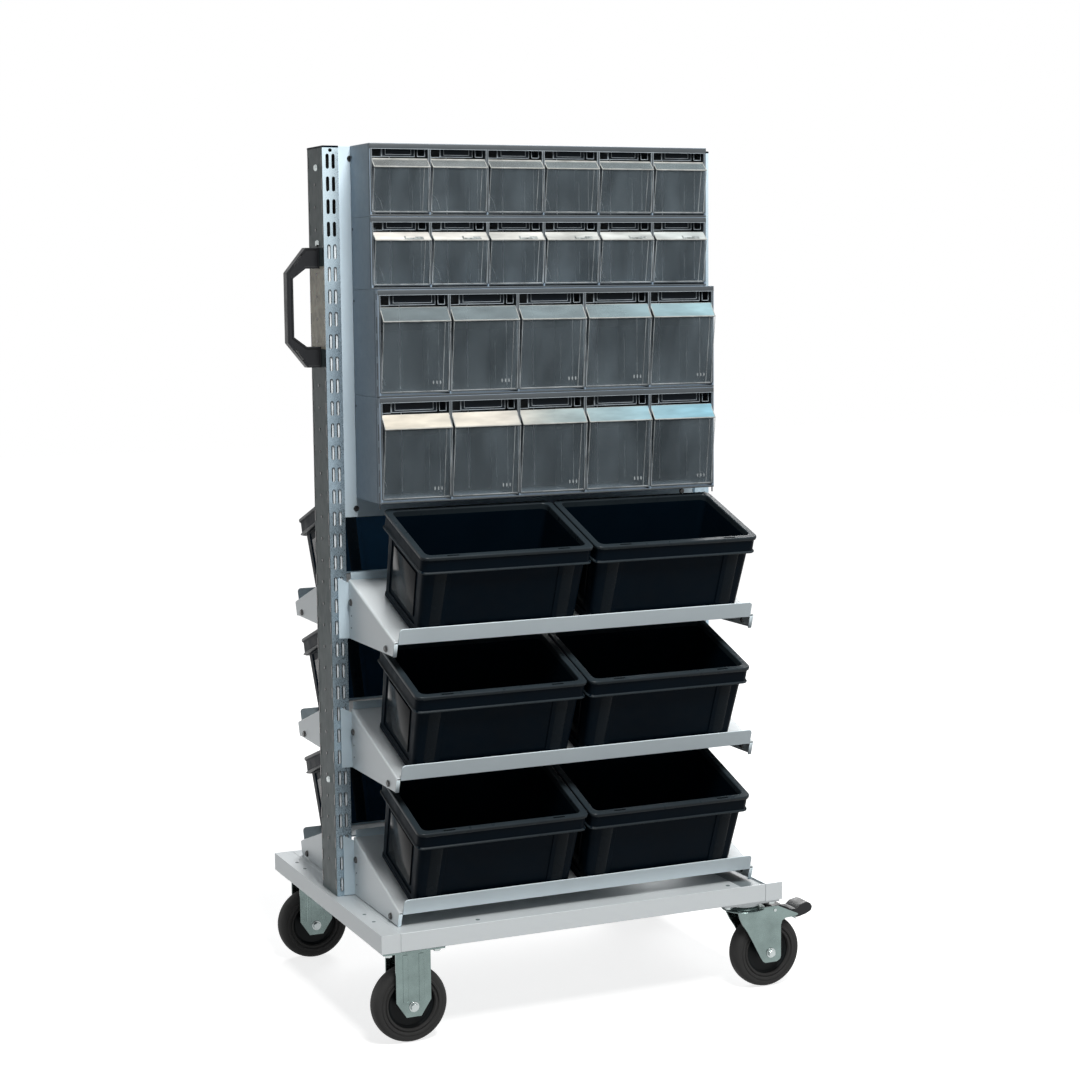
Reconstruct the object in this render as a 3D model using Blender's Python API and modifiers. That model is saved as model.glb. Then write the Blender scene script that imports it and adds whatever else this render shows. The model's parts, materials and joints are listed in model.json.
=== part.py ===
"""Mobile bin cart: a wheeled base with two slotted uprights, a back panel carrying four tilt-bin
units, and three sloping shelves of open containers on each side.

Metres, +Z up. The origin is on the floor, under the middle of the cart's whole footprint. The front
with the tilt bins faces -Y, and the push handle is at -X. Everything hangs on one empty at the
middle of the base."""

import math

import bmesh
import bpy
from mathutils import Matrix, Vector

# Clearance between neighbouring pieces
GAP = 0.0003

# Base: end channels, cross rails and a folded deck between them
BASE_WIDTH = 0.720
BASE_DEPTH = 0.560
BASE_HEIGHT = 0.030
END_CHANNEL = 0.032
BASE_SHEET = 0.002
RAIL_SHEET = 0.003
RAIL_MARGIN = 0.009

# Casters
CASTER_RISE = 0.032
CASTER_INSET_X = 0.056
CASTER_INSET_Y = 0.035
TRAIL = 0.040
WHEEL_RADIUS = 0.0625
WHEEL_WIDTH = 0.034
TREAD_WIDTH = 0.010
TREAD_SHOULDER = 0.0012
TYRE_EDGE = 0.005
TYRE_THICKNESS = 0.0185
DISC_STEP = 0.006
DISC_WIDTH = 0.014
HUB_RADIUS = 0.016
HUB_GAP = 0.0007
AXLE_RADIUS = 0.006
BOLT_RADIUS = 0.010
BOLT_HEIGHT = 0.006
PLATE_LENGTH = 0.105
PLATE_WIDTH = 0.064
PLATE_SHEET = 0.004
FORK_WIDTH = 0.050
FORK_SHEET = 0.003
FIXED_LEG_WIDTH = 0.059
FIXED_LEG_FOOT = 0.024
FIXED_LEG_SHOULDER = 0.009
FORK_FOOT_DROP = 0.017
RACE_RADIUS = 0.027
RACE_HEIGHT = 0.006
HEAD_RADIUS = 0.037
HEAD_SHEET = 0.006
SWIVEL_LEG_BACK = 0.054
SWIVEL_LEG_BACK_RISE = 0.049
SWIVEL_FOOT_HALF = 0.020
SWIVEL_EAR = 0.054
SWIVEL_EAR_RISE = 0.063
SWIVEL_EAR_SHEET = 0.006
SWIVEL_EAR_ROOT = 0.029
PEDAL_PIVOT_REACH = 0.048
PEDAL_PIVOT_DROP = 0.017
PEDAL_LENGTH = 0.078
PEDAL_WIDTH = 0.036
PEDAL_ARM = 0.012
PEDAL_PIN_RADIUS = 0.003
PEDAL_PAD_LENGTH = 0.034
PEDAL_PAD_HEIGHT = 0.020
PEDAL_DROP = 0.012

# Slotted uprights
UPRIGHT_SETBACK = 0.010
UPRIGHT_WIDTH = 0.027
UPRIGHT_DEPTH = 0.076
UPRIGHT_WALL = 0.002
CAP_SHEET = 0.003
SLOT_PITCH = 0.036
SLOT_HEIGHT = 0.024
SLOT_WIDTH = 0.005
SLOT_SPACING = 0.010
SLOT_START = 0.013
TOP_HOLE_RADIUS = 0.003
TOP_HOLE_DROP = 0.0075

# Push handle
HANDLE_REACH = 0.056
HANDLE_HALF = 0.0965
HANDLE_CORNER_X = 0.031
HANDLE_CORNER_Z = 0.056
HANDLE_INNER_REACH = 0.044
HANDLE_INNER_HALF = 0.063
HANDLE_INNER_CORNER_X = 0.025
HANDLE_INNER_CORNER_Z = 0.045
HANDLE_THICKNESS = 0.020
HANDLE_DROP = 0.2585
HANDLE_Y = -0.006
HANDLE_BEVEL = 0.002

# Back panel
PANEL_RECESS = 0.008
PANEL_SHEET = 0.0015
PANEL_FLANGE = 0.015
PANEL_BELOW_UNITS = 0.031

# Tilt-bin units, from the top down
UNIT_WIDTH = 0.600
UNIT_HEIGHTS = (0.115, 0.115, 0.170, 0.170)
UNIT_DEPTHS = (0.092, 0.092, 0.119, 0.119)
UNIT_BINS = (6, 6, 5, 5)
UNIT_CREST_DROP = (0.0255, 0.0255, 0.029, 0.029)
UNIT_LIP_RISE = (0.012, 0.012, 0.0215, 0.0215)
UNIT_LIP_REACH = (0.012, 0.012, 0.015, 0.015)
UNIT_TAB = (0.056, 0.056, 0.078, 0.078)
UNIT_TAB_HEIGHT = (0.018, 0.018, 0.022, 0.022)
HOUSING_WALL = 0.003
HOUSING_BACK = 0.002
DIVIDER = 0.0025
TAB_SETBACK = 0.009
TAB_SHEET = 0.0015
BIN_WALL = 0.0018
HINGE_INSET = 0.006
BIN_FLOOR_DROP = 0.004
BIN_REAR_GAP = 0.0012
LIP_BACKSET = 0.002
ARC_STEPS = 5
BIN_REAR_OPEN_ANGLE = math.radians(30)

# Sloping shelves
SHELF_TILT = math.radians(19)
SHELF_SIDE_GAP = 0.003
SHELF_SHEET = 0.002
SHELF_LIP = 0.0242
SHELF_LIP_Y = 0.260
SHELF_LIP_HEM = 0.0025
SHELF_CLEARANCE = 0.045
SHELF_FOOT_GAP = 0.001
UNIT_CLEARANCE = 0.005
SHELVES = 3
SHELF_REAR_FLANGE = 0.019
BRACKET_SHEET = 0.003
BRACKET_DROP = 0.027
BRACKET_CORNER = 0.004
FLANGE_RISE = 0.058
FLANGE_HEIGHT = 0.103
FLANGE_MARGIN = 0.007
FLANGE_SHEET = 0.002
BRACKET_STEP = 0.0002
HOOK_WIDTH = 0.003
HOOK_HEIGHT = 0.018
HOOK_DEPTH = 0.007
HOOK_BELOW = 0.022
HOOKS = 2

# Open containers, two on each shelf
BOX_LENGTH = 0.2935
BOX_WIDTH = 0.186
BOX_HEIGHT = 0.147
BOX_SPACING = 0.003
BOX_SEAT = 0.0013
BOX_ROW_SHIFTS = (0.003, -0.010, -0.010)
BOX_FOOT_INSET = 0.011
BOX_BODY_INSET = 0.006
BOX_SKIRT_INSET = 0.0015
BOX_SKIRT_HEIGHT = 0.030
BOX_BEAD = 0.004
BOX_RIM_HEIGHT = 0.005
BOX_RIM_WIDTH = 0.0105
BOX_FLOOR_INSET = 0.0145
BOX_FLOOR = 0.003
BOX_CORNER = 0.012
BOX_LEAST_CORNER = 0.004

WHEEL_STEPS = 24
PIN_STEPS = 16
CORNER_STEPS = 2
SMOOTH_ANGLE = math.radians(35)

# What follows from the sizes above
CASTER_HEIGHT = 2 * WHEEL_RADIUS + CASTER_RISE
CASTER_Y = BASE_DEPTH / 2 - CASTER_INSET_Y
SWIVEL_X = BASE_WIDTH / 2 - CASTER_INSET_X
FIXED_X = -SWIVEL_X
RAIL_INNER_Y = CASTER_Y - PLATE_WIDTH / 2 - RAIL_MARGIN
RIM_RADIUS = WHEEL_RADIUS - TYRE_THICKNESS
DISC_RADIUS = RIM_RADIUS - DISC_STEP
HUB_WIDTH = FORK_WIDTH - 2 * FORK_SHEET - 2 * HUB_GAP
BASE_TOP = CASTER_HEIGHT + BASE_HEIGHT
PLATE_BOTTOM = CASTER_HEIGHT - PLATE_SHEET
PEDAL_PIVOT_X = SWIVEL_X + PEDAL_PIVOT_REACH
PEDAL_PIVOT_Z = PLATE_BOTTOM - PEDAL_PIVOT_DROP
PEDAL_TIP_X = PEDAL_PIVOT_X + PEDAL_LENGTH
UPRIGHT_X = BASE_WIDTH / 2 - UPRIGHT_SETBACK
UPRIGHT_FRONT = UPRIGHT_DEPTH / 2
PANEL_Y = UPRIGHT_FRONT - PANEL_RECESS
INNER_SLOT_X = UPRIGHT_X - UPRIGHT_WIDTH / 2 - SLOT_SPACING / 2
SHELF_HALF = UPRIGHT_X - UPRIGHT_WIDTH - SHELF_SIDE_GAP
FLANGE_EDGE_X = INNER_SLOT_X + FLANGE_MARGIN

# The shelves hook into slots, so their places are counted in whole slots: under the units with
# room for the containers, and far enough apart for the containers between them.
BOX_RISE = (BOX_SEAT + BOX_WIDTH - BOX_FOOT_INSET) * math.sin(SHELF_TILT) + (
    BOX_HEIGHT + SHELF_SHEET - SHELF_LIP
) * math.cos(SHELF_TILT)
FIRST_HOOK_ROW = math.ceil(
    (sum(UNIT_HEIGHTS) + UNIT_CLEARANCE + BOX_RISE - SLOT_START - HOOK_BELOW) / SLOT_PITCH
)
SHELF_SLOTS = math.ceil(
    (BOX_HEIGHT + SHELF_SHEET + SHELF_CLEARANCE) / math.cos(SHELF_TILT) / SLOT_PITCH
)
LAST_HOOK_ROW = FIRST_HOOK_ROW + (SHELVES - 1) * SHELF_SLOTS
LOWEST_LIP_Z = BASE_TOP + SHELF_FOOT_GAP + FLANGE_HEIGHT - FLANGE_RISE
SHELF_TOP_LIP_Z = LOWEST_LIP_Z + (SHELVES - 1) * SHELF_SLOTS * SLOT_PITCH
TOP = LOWEST_LIP_Z + HOOK_BELOW + LAST_HOOK_ROW * SLOT_PITCH + SLOT_START
SLOT_ROWS = 1 + math.floor((TOP - BASE_TOP - SLOT_START - SLOT_HEIGHT) / SLOT_PITCH)
HANDLE_Z = TOP - HANDLE_DROP
PANEL_BOTTOM = TOP - sum(UNIT_HEIGHTS) - PANEL_BELOW_UNITS
HANDLE_TIP_X = UPRIGHT_X + HANDLE_REACH
FOOTPRINT_SHIFT = (HANDLE_TIP_X - PEDAL_TIP_X) / 2


def clear_scene():
    for existing in list(bpy.data.objects):
        bpy.data.objects.remove(existing, do_unlink=True)


def new_collection(name):
    collection = bpy.data.collections.new(name)
    bpy.context.scene.collection.children.link(collection)
    return collection


def new_material(name, colour, roughness, metallic=0.0, alpha=1.0):
    material = bpy.data.materials.new(name)
    material.use_nodes = True
    shader = material.node_tree.nodes["Principled BSDF"]
    shader.inputs["Base Color"].default_value = (*colour, 1.0)
    shader.inputs["Roughness"].default_value = roughness
    shader.inputs["Metallic"].default_value = metallic
    shader.inputs["Alpha"].default_value = alpha
    return material


def mesh_from(shape, name):
    """A mesh data block from a bmesh, with its faces turned outward."""
    bmesh.ops.recalc_face_normals(shape, faces=shape.faces)
    mesh = bpy.data.meshes.new(name)
    shape.to_mesh(mesh)
    shape.free()
    return mesh


def box(low, high):
    """A closed box between two opposite corners."""
    shape = bmesh.new()
    low, high = Vector(low), Vector(high)
    size = high - low
    place = Matrix.Translation((low + high) / 2) @ Matrix.Diagonal((*size, 1))
    bmesh.ops.create_cube(shape, size=1, matrix=place)
    return mesh_from(shape, "box")


def cylinder(radius, length, centre, axis="Z", steps=PIN_STEPS, top_radius=None):
    """A closed cylinder or cone about the Z or Y axis."""
    turn = Matrix.Rotation(math.pi / 2, 4, "X") if axis == "Y" else Matrix()
    shape = bmesh.new()
    bmesh.ops.create_cone(
        shape,
        cap_ends=True,
        segments=steps,
        radius1=radius,
        radius2=radius if top_radius is None else top_radius,
        depth=length,
        matrix=Matrix.Translation(centre) @ turn,
    )
    return mesh_from(shape, "cylinder")


def placed_mesh(mesh, name, matrix):
    """The mesh as a temporary object, for an operation that needs one."""
    temporary = bpy.data.objects.new(name, mesh)
    temporary.matrix_world = matrix
    bpy.context.scene.collection.objects.link(temporary)
    return temporary


def evaluated_mesh(source):
    """The object's mesh after its modifiers. The object itself is removed."""
    bpy.context.view_layer.update()
    graph = bpy.context.evaluated_depsgraph_get()
    mesh = bpy.data.meshes.new_from_object(source.evaluated_get(graph))
    mesh.transform(source.matrix_world)
    bpy.data.objects.remove(source, do_unlink=True)
    return mesh


def extrusion(points, low, high, axis, holes=()):
    """A flat outline extruded between two places along an axis.

    The outline's two coordinates are (Y, Z) along X, (X, Z) along Y and (X, Y) along Z."""
    curve = bpy.data.curves.new("outline", "CURVE")
    curve.dimensions = "2D"
    curve.fill_mode = "BOTH"
    curve.extrude = (high - low) / 2
    for loop in (points, *holes):
        spline = curve.splines.new("POLY")
        spline.points.add(len(loop) - 1)
        for point, (across, up) in zip(spline.points, loop):
            point.co = (across, up, 0, 1)
        spline.use_cyclic_u = True
    middle = (high + low) / 2
    frames = {
        "X": Matrix(((0, 0, 1, middle), (1, 0, 0, 0), (0, 1, 0, 0), (0, 0, 0, 1))),
        "Y": Matrix(((1, 0, 0, 0), (0, 0, 1, middle), (0, 1, 0, 0), (0, 0, 0, 1))),
        "Z": Matrix.Translation((0, 0, middle)),
    }
    mesh = evaluated_mesh(placed_mesh(curve, "outline", frames[axis]))
    shape = bmesh.new()
    shape.from_mesh(mesh)
    bmesh.ops.remove_doubles(shape, verts=shape.verts, dist=GAP / 10)
    return mesh_from(shape, "extrusion")


def combined(base, joined=(), cut=()):
    """One closed body: the base mesh with others joined to it and others cut out of it."""
    body = placed_mesh(base, "body", Matrix())
    helpers = []
    for operation, meshes in (("UNION", joined), ("DIFFERENCE", cut)):
        for mesh in meshes:
            helper = placed_mesh(mesh, operation.lower(), Matrix())
            modifier = body.modifiers.new(operation.lower(), "BOOLEAN")
            modifier.operation = operation
            modifier.solver = "EXACT"
            modifier.object = helper
            helpers.append(helper)
    result = evaluated_mesh(body)
    for helper in helpers:
        bpy.data.objects.remove(helper, do_unlink=True)
    return result


def gathered(meshes):
    """Separate closed shapes in one mesh, to serve as a single cutter."""
    shape = bmesh.new()
    for mesh in meshes:
        shape.from_mesh(mesh)
    return mesh_from(shape, "cutter")


def turned(profile, steps):
    """A ring turned about the Y axis from a closed (radius, y) profile."""
    shape = bmesh.new()
    corners = [shape.verts.new((radius, along, 0)) for radius, along in profile]
    for start, end in zip(corners, corners[1:] + corners[:1]):
        shape.edges.new((start, end))
    mesh = bpy.data.meshes.new("profile")
    shape.to_mesh(mesh)
    shape.free()
    body = placed_mesh(mesh, "turned", Matrix())
    screw = body.modifiers.new("turn", "SCREW")
    screw.axis = "Y"
    screw.steps = steps
    screw.render_steps = steps
    screw.use_merge_vertices = True
    screw.merge_threshold = GAP / 10
    shape = bmesh.new()
    shape.from_mesh(evaluated_mesh(body))
    return mesh_from(shape, "turned")


def mirrored(profile):
    """A profile given on its +Y half, with the other half added."""
    return profile + [(radius, -along) for radius, along in reversed(profile)]


def add_part(name, mesh, material, place=Matrix(), parent=None, smooth=False):
    """One node of the cart. The place is measured from the parent, or from the base's middle."""
    part = bpy.data.objects.new(name, mesh)
    if not mesh.materials:
        mesh.materials.append(material)
    if smooth:
        mesh.shade_smooth()
        mesh.set_sharp_from_angle(angle=SMOOTH_ANGLE)
    PARTS.objects.link(part)
    part.parent = parent or CART
    part.matrix_local = place
    return part


def axis_empty(name, place):
    """An empty on a joint's axis, for the moving pieces that hang on it."""
    empty = bpy.data.objects.new(name, None)
    empty.empty_display_size = WHEEL_RADIUS
    PARTS.objects.link(empty)
    empty.parent = CART
    empty.matrix_local = place
    return empty


def base_frame():
    """Two end channels, open below, joined by two rails that carry the casters."""
    half_width, half_depth = BASE_WIDTH / 2, BASE_DEPTH / 2
    inner = half_width - END_CHANNEL
    pieces, hollows = [], []
    for side in (-1, 1):
        outer_x, inner_x = side * half_width, side * inner
        low_x, high_x = min(outer_x, inner_x), max(outer_x, inner_x)
        pieces.append(box((low_x, -half_depth, CASTER_HEIGHT), (high_x, half_depth, BASE_TOP)))
        hollows.append(
            box(
                (low_x + BASE_SHEET, -half_depth + BASE_SHEET, CASTER_HEIGHT - BASE_SHEET),
                (high_x - BASE_SHEET, half_depth - BASE_SHEET, BASE_TOP - BASE_SHEET),
            )
        )
    channels = combined(pieces[0], joined=pieces[1:], cut=hollows)
    rails = []
    rail_outer = half_depth - BASE_SHEET - GAP
    rail_half = half_width - BASE_SHEET / 2
    for low_y, high_y in ((-rail_outer, -RAIL_INNER_Y), (RAIL_INNER_Y, rail_outer)):
        rails.append(
            box((-rail_half, low_y, CASTER_HEIGHT), (rail_half, high_y, CASTER_HEIGHT + RAIL_SHEET))
        )
    rails += [swivel_plate(side * CASTER_Y) for side in (-1, 1)]
    return combined(channels, joined=rails)


def swivel_plate(y):
    """The top plate of a swivel caster, with the ring of its bearing below."""
    half_length, half_width = PLATE_LENGTH / 2, PLATE_WIDTH / 2
    overlap = RAIL_SHEET / 2
    plate = box(
        (SWIVEL_X - half_length, y - half_width, PLATE_BOTTOM),
        (SWIVEL_X + half_length, y + half_width, CASTER_HEIGHT + overlap),
    )
    race_middle = (SWIVEL_X, y, PLATE_BOTTOM - RACE_HEIGHT / 2 + overlap / 2)
    race = cylinder(RACE_RADIUS, RACE_HEIGHT + overlap, race_middle, steps=WHEEL_STEPS)
    return combined(plate, joined=[race])


def deck():
    """The folded sheet between the end channels. Its side folds stop above the rails."""
    half_x = BASE_WIDTH / 2 - END_CHANNEL - GAP
    half_y = BASE_DEPTH / 2
    side_bottom = CASTER_HEIGHT + RAIL_SHEET + GAP
    pan = box((-half_x, -half_y, CASTER_HEIGHT), (half_x, half_y, BASE_TOP))
    hollow = box(
        (-half_x + BASE_SHEET, -half_y + BASE_SHEET, CASTER_HEIGHT - BASE_SHEET),
        (half_x - BASE_SHEET, half_y - BASE_SHEET, BASE_TOP - BASE_SHEET),
    )
    relief = box(
        (-half_x - BASE_SHEET, -half_y + BASE_SHEET, CASTER_HEIGHT - BASE_SHEET),
        (half_x + BASE_SHEET, half_y - BASE_SHEET, side_bottom),
    )
    return combined(pan, cut=[hollow, relief])


def upright(side):
    """A slotted tube with its top cap. The slot columns go through the front and rear faces."""
    half_width = UPRIGHT_WIDTH / 2
    middle = side * (UPRIGHT_X - half_width)
    inner_half, inner_depth = half_width - UPRIGHT_WALL, UPRIGHT_FRONT - UPRIGHT_WALL
    tube = extrusion(
        rectangle(middle, 0, half_width, UPRIGHT_FRONT),
        BASE_TOP + GAP,
        TOP - CAP_SHEET / 2,
        "Z",
        holes=[rectangle(middle, 0, inner_half, inner_depth)],
    )
    cap = box(
        (middle - half_width, -UPRIGHT_FRONT, TOP - CAP_SHEET),
        (middle + half_width, UPRIGHT_FRONT, TOP),
    )
    slots = []
    reach = UPRIGHT_FRONT + UPRIGHT_WALL
    for row in range(SLOT_ROWS):
        slot_top = TOP - SLOT_START - row * SLOT_PITCH
        for column in (-1, 1):
            slot_x = middle + column * SLOT_SPACING / 2
            slots.append(
                box(
                    (slot_x - SLOT_WIDTH / 2, -reach, slot_top - SLOT_HEIGHT),
                    (slot_x + SLOT_WIDTH / 2, reach, slot_top),
                )
            )
    hole_middle = (middle, 0, TOP - TOP_HOLE_DROP)
    slots.append(cylinder(TOP_HOLE_RADIUS, 2 * reach, hole_middle, axis="Y", steps=PIN_STEPS // 2))
    return combined(tube, joined=[cap], cut=[gathered(slots)])


def rectangle(x, y, half_x, half_y):
    corners = ((-1, -1), (1, -1), (1, 1), (-1, 1))
    return [(x + side_x * half_x, y + side_y * half_y) for side_x, side_y in corners]


def push_handle():
    """An angular loop handle on the outer side of the left upright."""
    root = -UPRIGHT_X - GAP
    outer = [(0, HANDLE_HALF), (HANDLE_CORNER_X, HANDLE_HALF), (HANDLE_REACH, HANDLE_CORNER_Z)]
    inner = [
        (0, HANDLE_INNER_HALF),
        (HANDLE_INNER_CORNER_X, HANDLE_INNER_HALF),
        (HANDLE_INNER_REACH, HANDLE_INNER_CORNER_Z),
    ]
    upper = [(root - reach, HANDLE_Z + rise) for reach, rise in outer]
    lower = [(root - reach, HANDLE_Z - rise) for reach, rise in reversed(outer)]
    inner_lower = [(root - reach, HANDLE_Z - rise) for reach, rise in inner]
    inner_upper = [(root - reach, HANDLE_Z + rise) for reach, rise in reversed(inner)]
    half = HANDLE_THICKNESS / 2
    outline = upper + lower + inner_lower + inner_upper
    return extrusion(outline, HANDLE_Y - half, HANDLE_Y + half, "Y")


def back_panel():
    """A sheet between the uprights, with its four edges folded back."""
    half_x = UPRIGHT_X - UPRIGHT_WIDTH - GAP
    pan = box((-half_x, -PANEL_Y, PANEL_BOTTOM), (half_x, -PANEL_Y + PANEL_FLANGE, TOP))
    hollow = box(
        (-half_x + PANEL_SHEET, -PANEL_Y + PANEL_SHEET, PANEL_BOTTOM + PANEL_SHEET),
        (half_x - PANEL_SHEET, -PANEL_Y + PANEL_FLANGE + PANEL_SHEET, TOP - PANEL_SHEET),
    )
    return combined(pan, cut=[hollow])


def unit_top(unit):
    return TOP - sum(UNIT_HEIGHTS[:unit])


def cell_width(unit):
    bins = UNIT_BINS[unit]
    return (UNIT_WIDTH - 2 * HOUSING_WALL - (bins - 1) * DIVIDER) / bins


def cell_middle(unit, place):
    pitch = cell_width(unit) + DIVIDER
    return (place - (UNIT_BINS[unit] - 1) / 2) * pitch


def unit_front(unit):
    return -PANEL_Y - GAP - UNIT_DEPTHS[unit]


def housing(unit):
    """One row of cells, open at the front, each with a stop tab under its ceiling."""
    top = unit_top(unit) - GAP / 2
    bottom = unit_top(unit + 1) + GAP / 2
    front, back = unit_front(unit), -PANEL_Y - GAP
    half = UNIT_WIDTH / 2
    shell = box((-half, front, bottom), (half, back, top))
    cells, tabs = [], []
    ceiling = top - HOUSING_WALL
    for place in range(UNIT_BINS[unit]):
        middle, half_cell = cell_middle(unit, place), cell_width(unit) / 2
        half_tab = UNIT_TAB[unit] / 2
        cells.append(
            box(
                (middle - half_cell, front - HOUSING_WALL, bottom + HOUSING_WALL),
                (middle + half_cell, back - HOUSING_BACK, ceiling),
            )
        )
        tabs.append(
            box(
                (middle - half_tab, front + TAB_SETBACK, ceiling - UNIT_TAB_HEIGHT[unit]),
                (middle + half_tab, front + TAB_SETBACK + TAB_SHEET, ceiling + HOUSING_WALL / 2),
            )
        )
    hollow = combined(shell, cut=[gathered(cells)])
    return combined(hollow, joined=[gathered(tabs)])


def arc(radius, start, end, steps):
    """Points on a circle about the hinge, by angle from straight up towards the rear."""
    angles = [start + (end - start) * step / steps for step in range(steps + 1)]
    return [(radius * math.sin(angle), radius * math.cos(angle)) for angle in angles]


def tilt_bin(unit):
    """A bin in its closed place, measured from its hinge axis at the bottom front."""
    rise = UNIT_HEIGHTS[unit] - UNIT_CREST_DROP[unit] - HOUSING_WALL - HINGE_INSET
    depth = UNIT_DEPTHS[unit] - HINGE_INSET - HOUSING_BACK - BIN_REAR_GAP
    foot = (-BIN_FLOOR_DROP, -BIN_FLOOR_DROP)
    brow = (-BIN_FLOOR_DROP - UNIT_LIP_REACH[unit], rise - UNIT_LIP_RISE[unit])
    crest = (-LIP_BACKSET, rise)
    floor_angle = math.pi / 2 + math.asin(BIN_FLOOR_DROP / depth)
    outside = [foot, brow, crest, *arc(depth, BIN_REAR_OPEN_ANGLE / 2, floor_angle, ARC_STEPS)]
    floor = -BIN_FLOOR_DROP + BIN_WALL
    inner_depth = depth - BIN_WALL
    inner_floor_angle = math.pi / 2 - math.asin(floor / inner_depth)
    above = arc(2 * inner_depth, BIN_REAR_OPEN_ANGLE, BIN_REAR_OPEN_ANGLE, 1)[0]
    inside = [
        (foot[0] + BIN_WALL, floor),
        (brow[0] + BIN_WALL, brow[1]),
        (crest[0] + BIN_WALL, crest[1]),
        (crest[0] + BIN_WALL, rise + BIN_WALL),
        above,
        *arc(inner_depth, BIN_REAR_OPEN_ANGLE, inner_floor_angle, ARC_STEPS),
    ]
    half = cell_width(unit) / 2 - GAP
    shell = extrusion(outside, -half, half, "X")
    return combined(shell, cut=[extrusion(inside, -half + BIN_WALL, half - BIN_WALL, "X")])


def shelf_point(along, above):
    """(Y, Z) on the top front shelf, from the foot of its lip: up the slope, and off the tray."""
    lean, rise = math.sin(SHELF_TILT), math.cos(SHELF_TILT)
    inner = SHELF_LIP - SHELF_SHEET
    lip_y = -SHELF_LIP_Y + SHELF_SHEET * rise + inner * lean
    lip_z = SHELF_TOP_LIP_Z + SHELF_SHEET * lean - inner * rise
    return (lip_y + along * rise - above * lean, lip_z + along * lean + above * rise)


def slope_at(y, above):
    """The height at a given Y of a line parallel to the tray."""
    start_y, start_z = shelf_point(0, above)
    return start_z + (y - start_y) * math.tan(SHELF_TILT)


def shelf():
    """A sloping tray with a front lip and a rear flange, its two side brackets and their hooks."""
    rear = -UPRIGHT_FRONT - GAP
    flange_front = rear - FLANGE_SHEET
    lip_height = SHELF_LIP - SHELF_SHEET
    flange_top = slope_at(rear, 0) + SHELF_REAR_FLANGE
    tray = extrusion(
        [
            shelf_point(-SHELF_SHEET, -SHELF_SHEET - SHELF_LIP_HEM),
            shelf_point(-SHELF_SHEET, lip_height),
            shelf_point(0, lip_height),
            shelf_point(0, 0),
            (flange_front, slope_at(flange_front, 0)),
            (flange_front, flange_top),
            (rear, flange_top),
            (rear, slope_at(rear, -SHELF_SHEET)),
            shelf_point(0, -SHELF_SHEET),
            shelf_point(0, -SHELF_SHEET - SHELF_LIP_HEM),
        ],
        -SHELF_HALF,
        SHELF_HALF,
        "X",
    )
    bracket_top = SHELF_TOP_LIP_Z + FLANGE_RISE
    bracket_bottom = bracket_top - FLANGE_HEIGHT
    overlap = -SHELF_SHEET / 2
    rear_edge = rear - BRACKET_STEP
    side_outline = [
        (rear_edge, bracket_bottom),
        (rear_edge, slope_at(rear_edge, overlap)),
        shelf_point(overlap, overlap),
        shelf_point(overlap, BRACKET_CORNER - BRACKET_DROP),
        shelf_point(overlap + BRACKET_CORNER, -BRACKET_DROP),
    ]
    pieces = []
    for side in (-1, 1):
        outer = side * (SHELF_HALF - BRACKET_STEP)
        inner = side * (SHELF_HALF - BRACKET_SHEET)
        pieces.append(extrusion(side_outline, min(outer, inner), max(outer, inner), "X"))
        edge = side * FLANGE_EDGE_X
        folded = inner - side * BRACKET_STEP
        pieces.append(
            box(
                (min(edge, folded), flange_front - BRACKET_STEP, bracket_bottom - BRACKET_STEP),
                (max(edge, folded), rear - 2 * BRACKET_STEP, bracket_top - SHELF_SHEET),
            )
        )
        hook_x = side * INNER_SLOT_X
        for hook in range(HOOKS):
            slot_top = TOP - SLOT_START - (FIRST_HOOK_ROW + hook) * SLOT_PITCH
            middle = slot_top - SLOT_HEIGHT / 2
            pieces.append(
                box(
                    (hook_x - HOOK_WIDTH / 2, rear - FLANGE_SHEET / 2, middle - HOOK_HEIGHT / 2),
                    (hook_x + HOOK_WIDTH / 2, rear + HOOK_DEPTH, middle + HOOK_HEIGHT / 2),
                )
            )
    return combined(tray, joined=pieces)


def rounded_ring(inset, height, corner):
    """A rectangle with rounded corners, set in from the container's outer size."""
    half_x, half_y = BOX_LENGTH / 2 - inset, BOX_WIDTH / 2 - inset
    points = []
    for quarter, (sign_x, sign_y) in enumerate(((1, 1), (-1, 1), (-1, -1), (1, -1))):
        centre = (sign_x * (half_x - corner), sign_y * (half_y - corner))
        for step in range(CORNER_STEPS + 1):
            angle = (quarter + step / CORNER_STEPS) * math.pi / 2
            points.append(
                (centre[0] + corner * math.cos(angle), centre[1] + corner * math.sin(angle), height)
            )
    return points


def container():
    """An open container: foot, tapered walls, skirt with a bead, and a flat rim round the mouth."""
    skirt = BOX_HEIGHT - BOX_SKIRT_HEIGHT
    rim = BOX_HEIGHT - BOX_RIM_HEIGHT
    sections = [
        (BOX_FOOT_INSET, 0),
        (BOX_BODY_INSET, skirt),
        (0, skirt),
        (0, skirt + BOX_BEAD),
        (BOX_SKIRT_INSET, skirt + BOX_BEAD),
        (BOX_SKIRT_INSET, rim),
        (0, rim),
        (0, BOX_HEIGHT),
        (BOX_RIM_WIDTH, BOX_HEIGHT),
        (BOX_FLOOR_INSET, BOX_FLOOR),
    ]
    shape = bmesh.new()
    rings = []
    for inset, height in sections:
        corner = max(BOX_CORNER - inset, BOX_LEAST_CORNER)
        rings.append([shape.verts.new(point) for point in rounded_ring(inset, height, corner)])
    for lower, upper in zip(rings, rings[1:]):
        for index in range(len(lower)):
            following = (index + 1) % len(lower)
            shape.faces.new((lower[index], lower[following], upper[following], upper[index]))
    shape.faces.new(reversed(rings[0]))
    shape.faces.new(rings[-1])
    return mesh_from(shape, "container")


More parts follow.
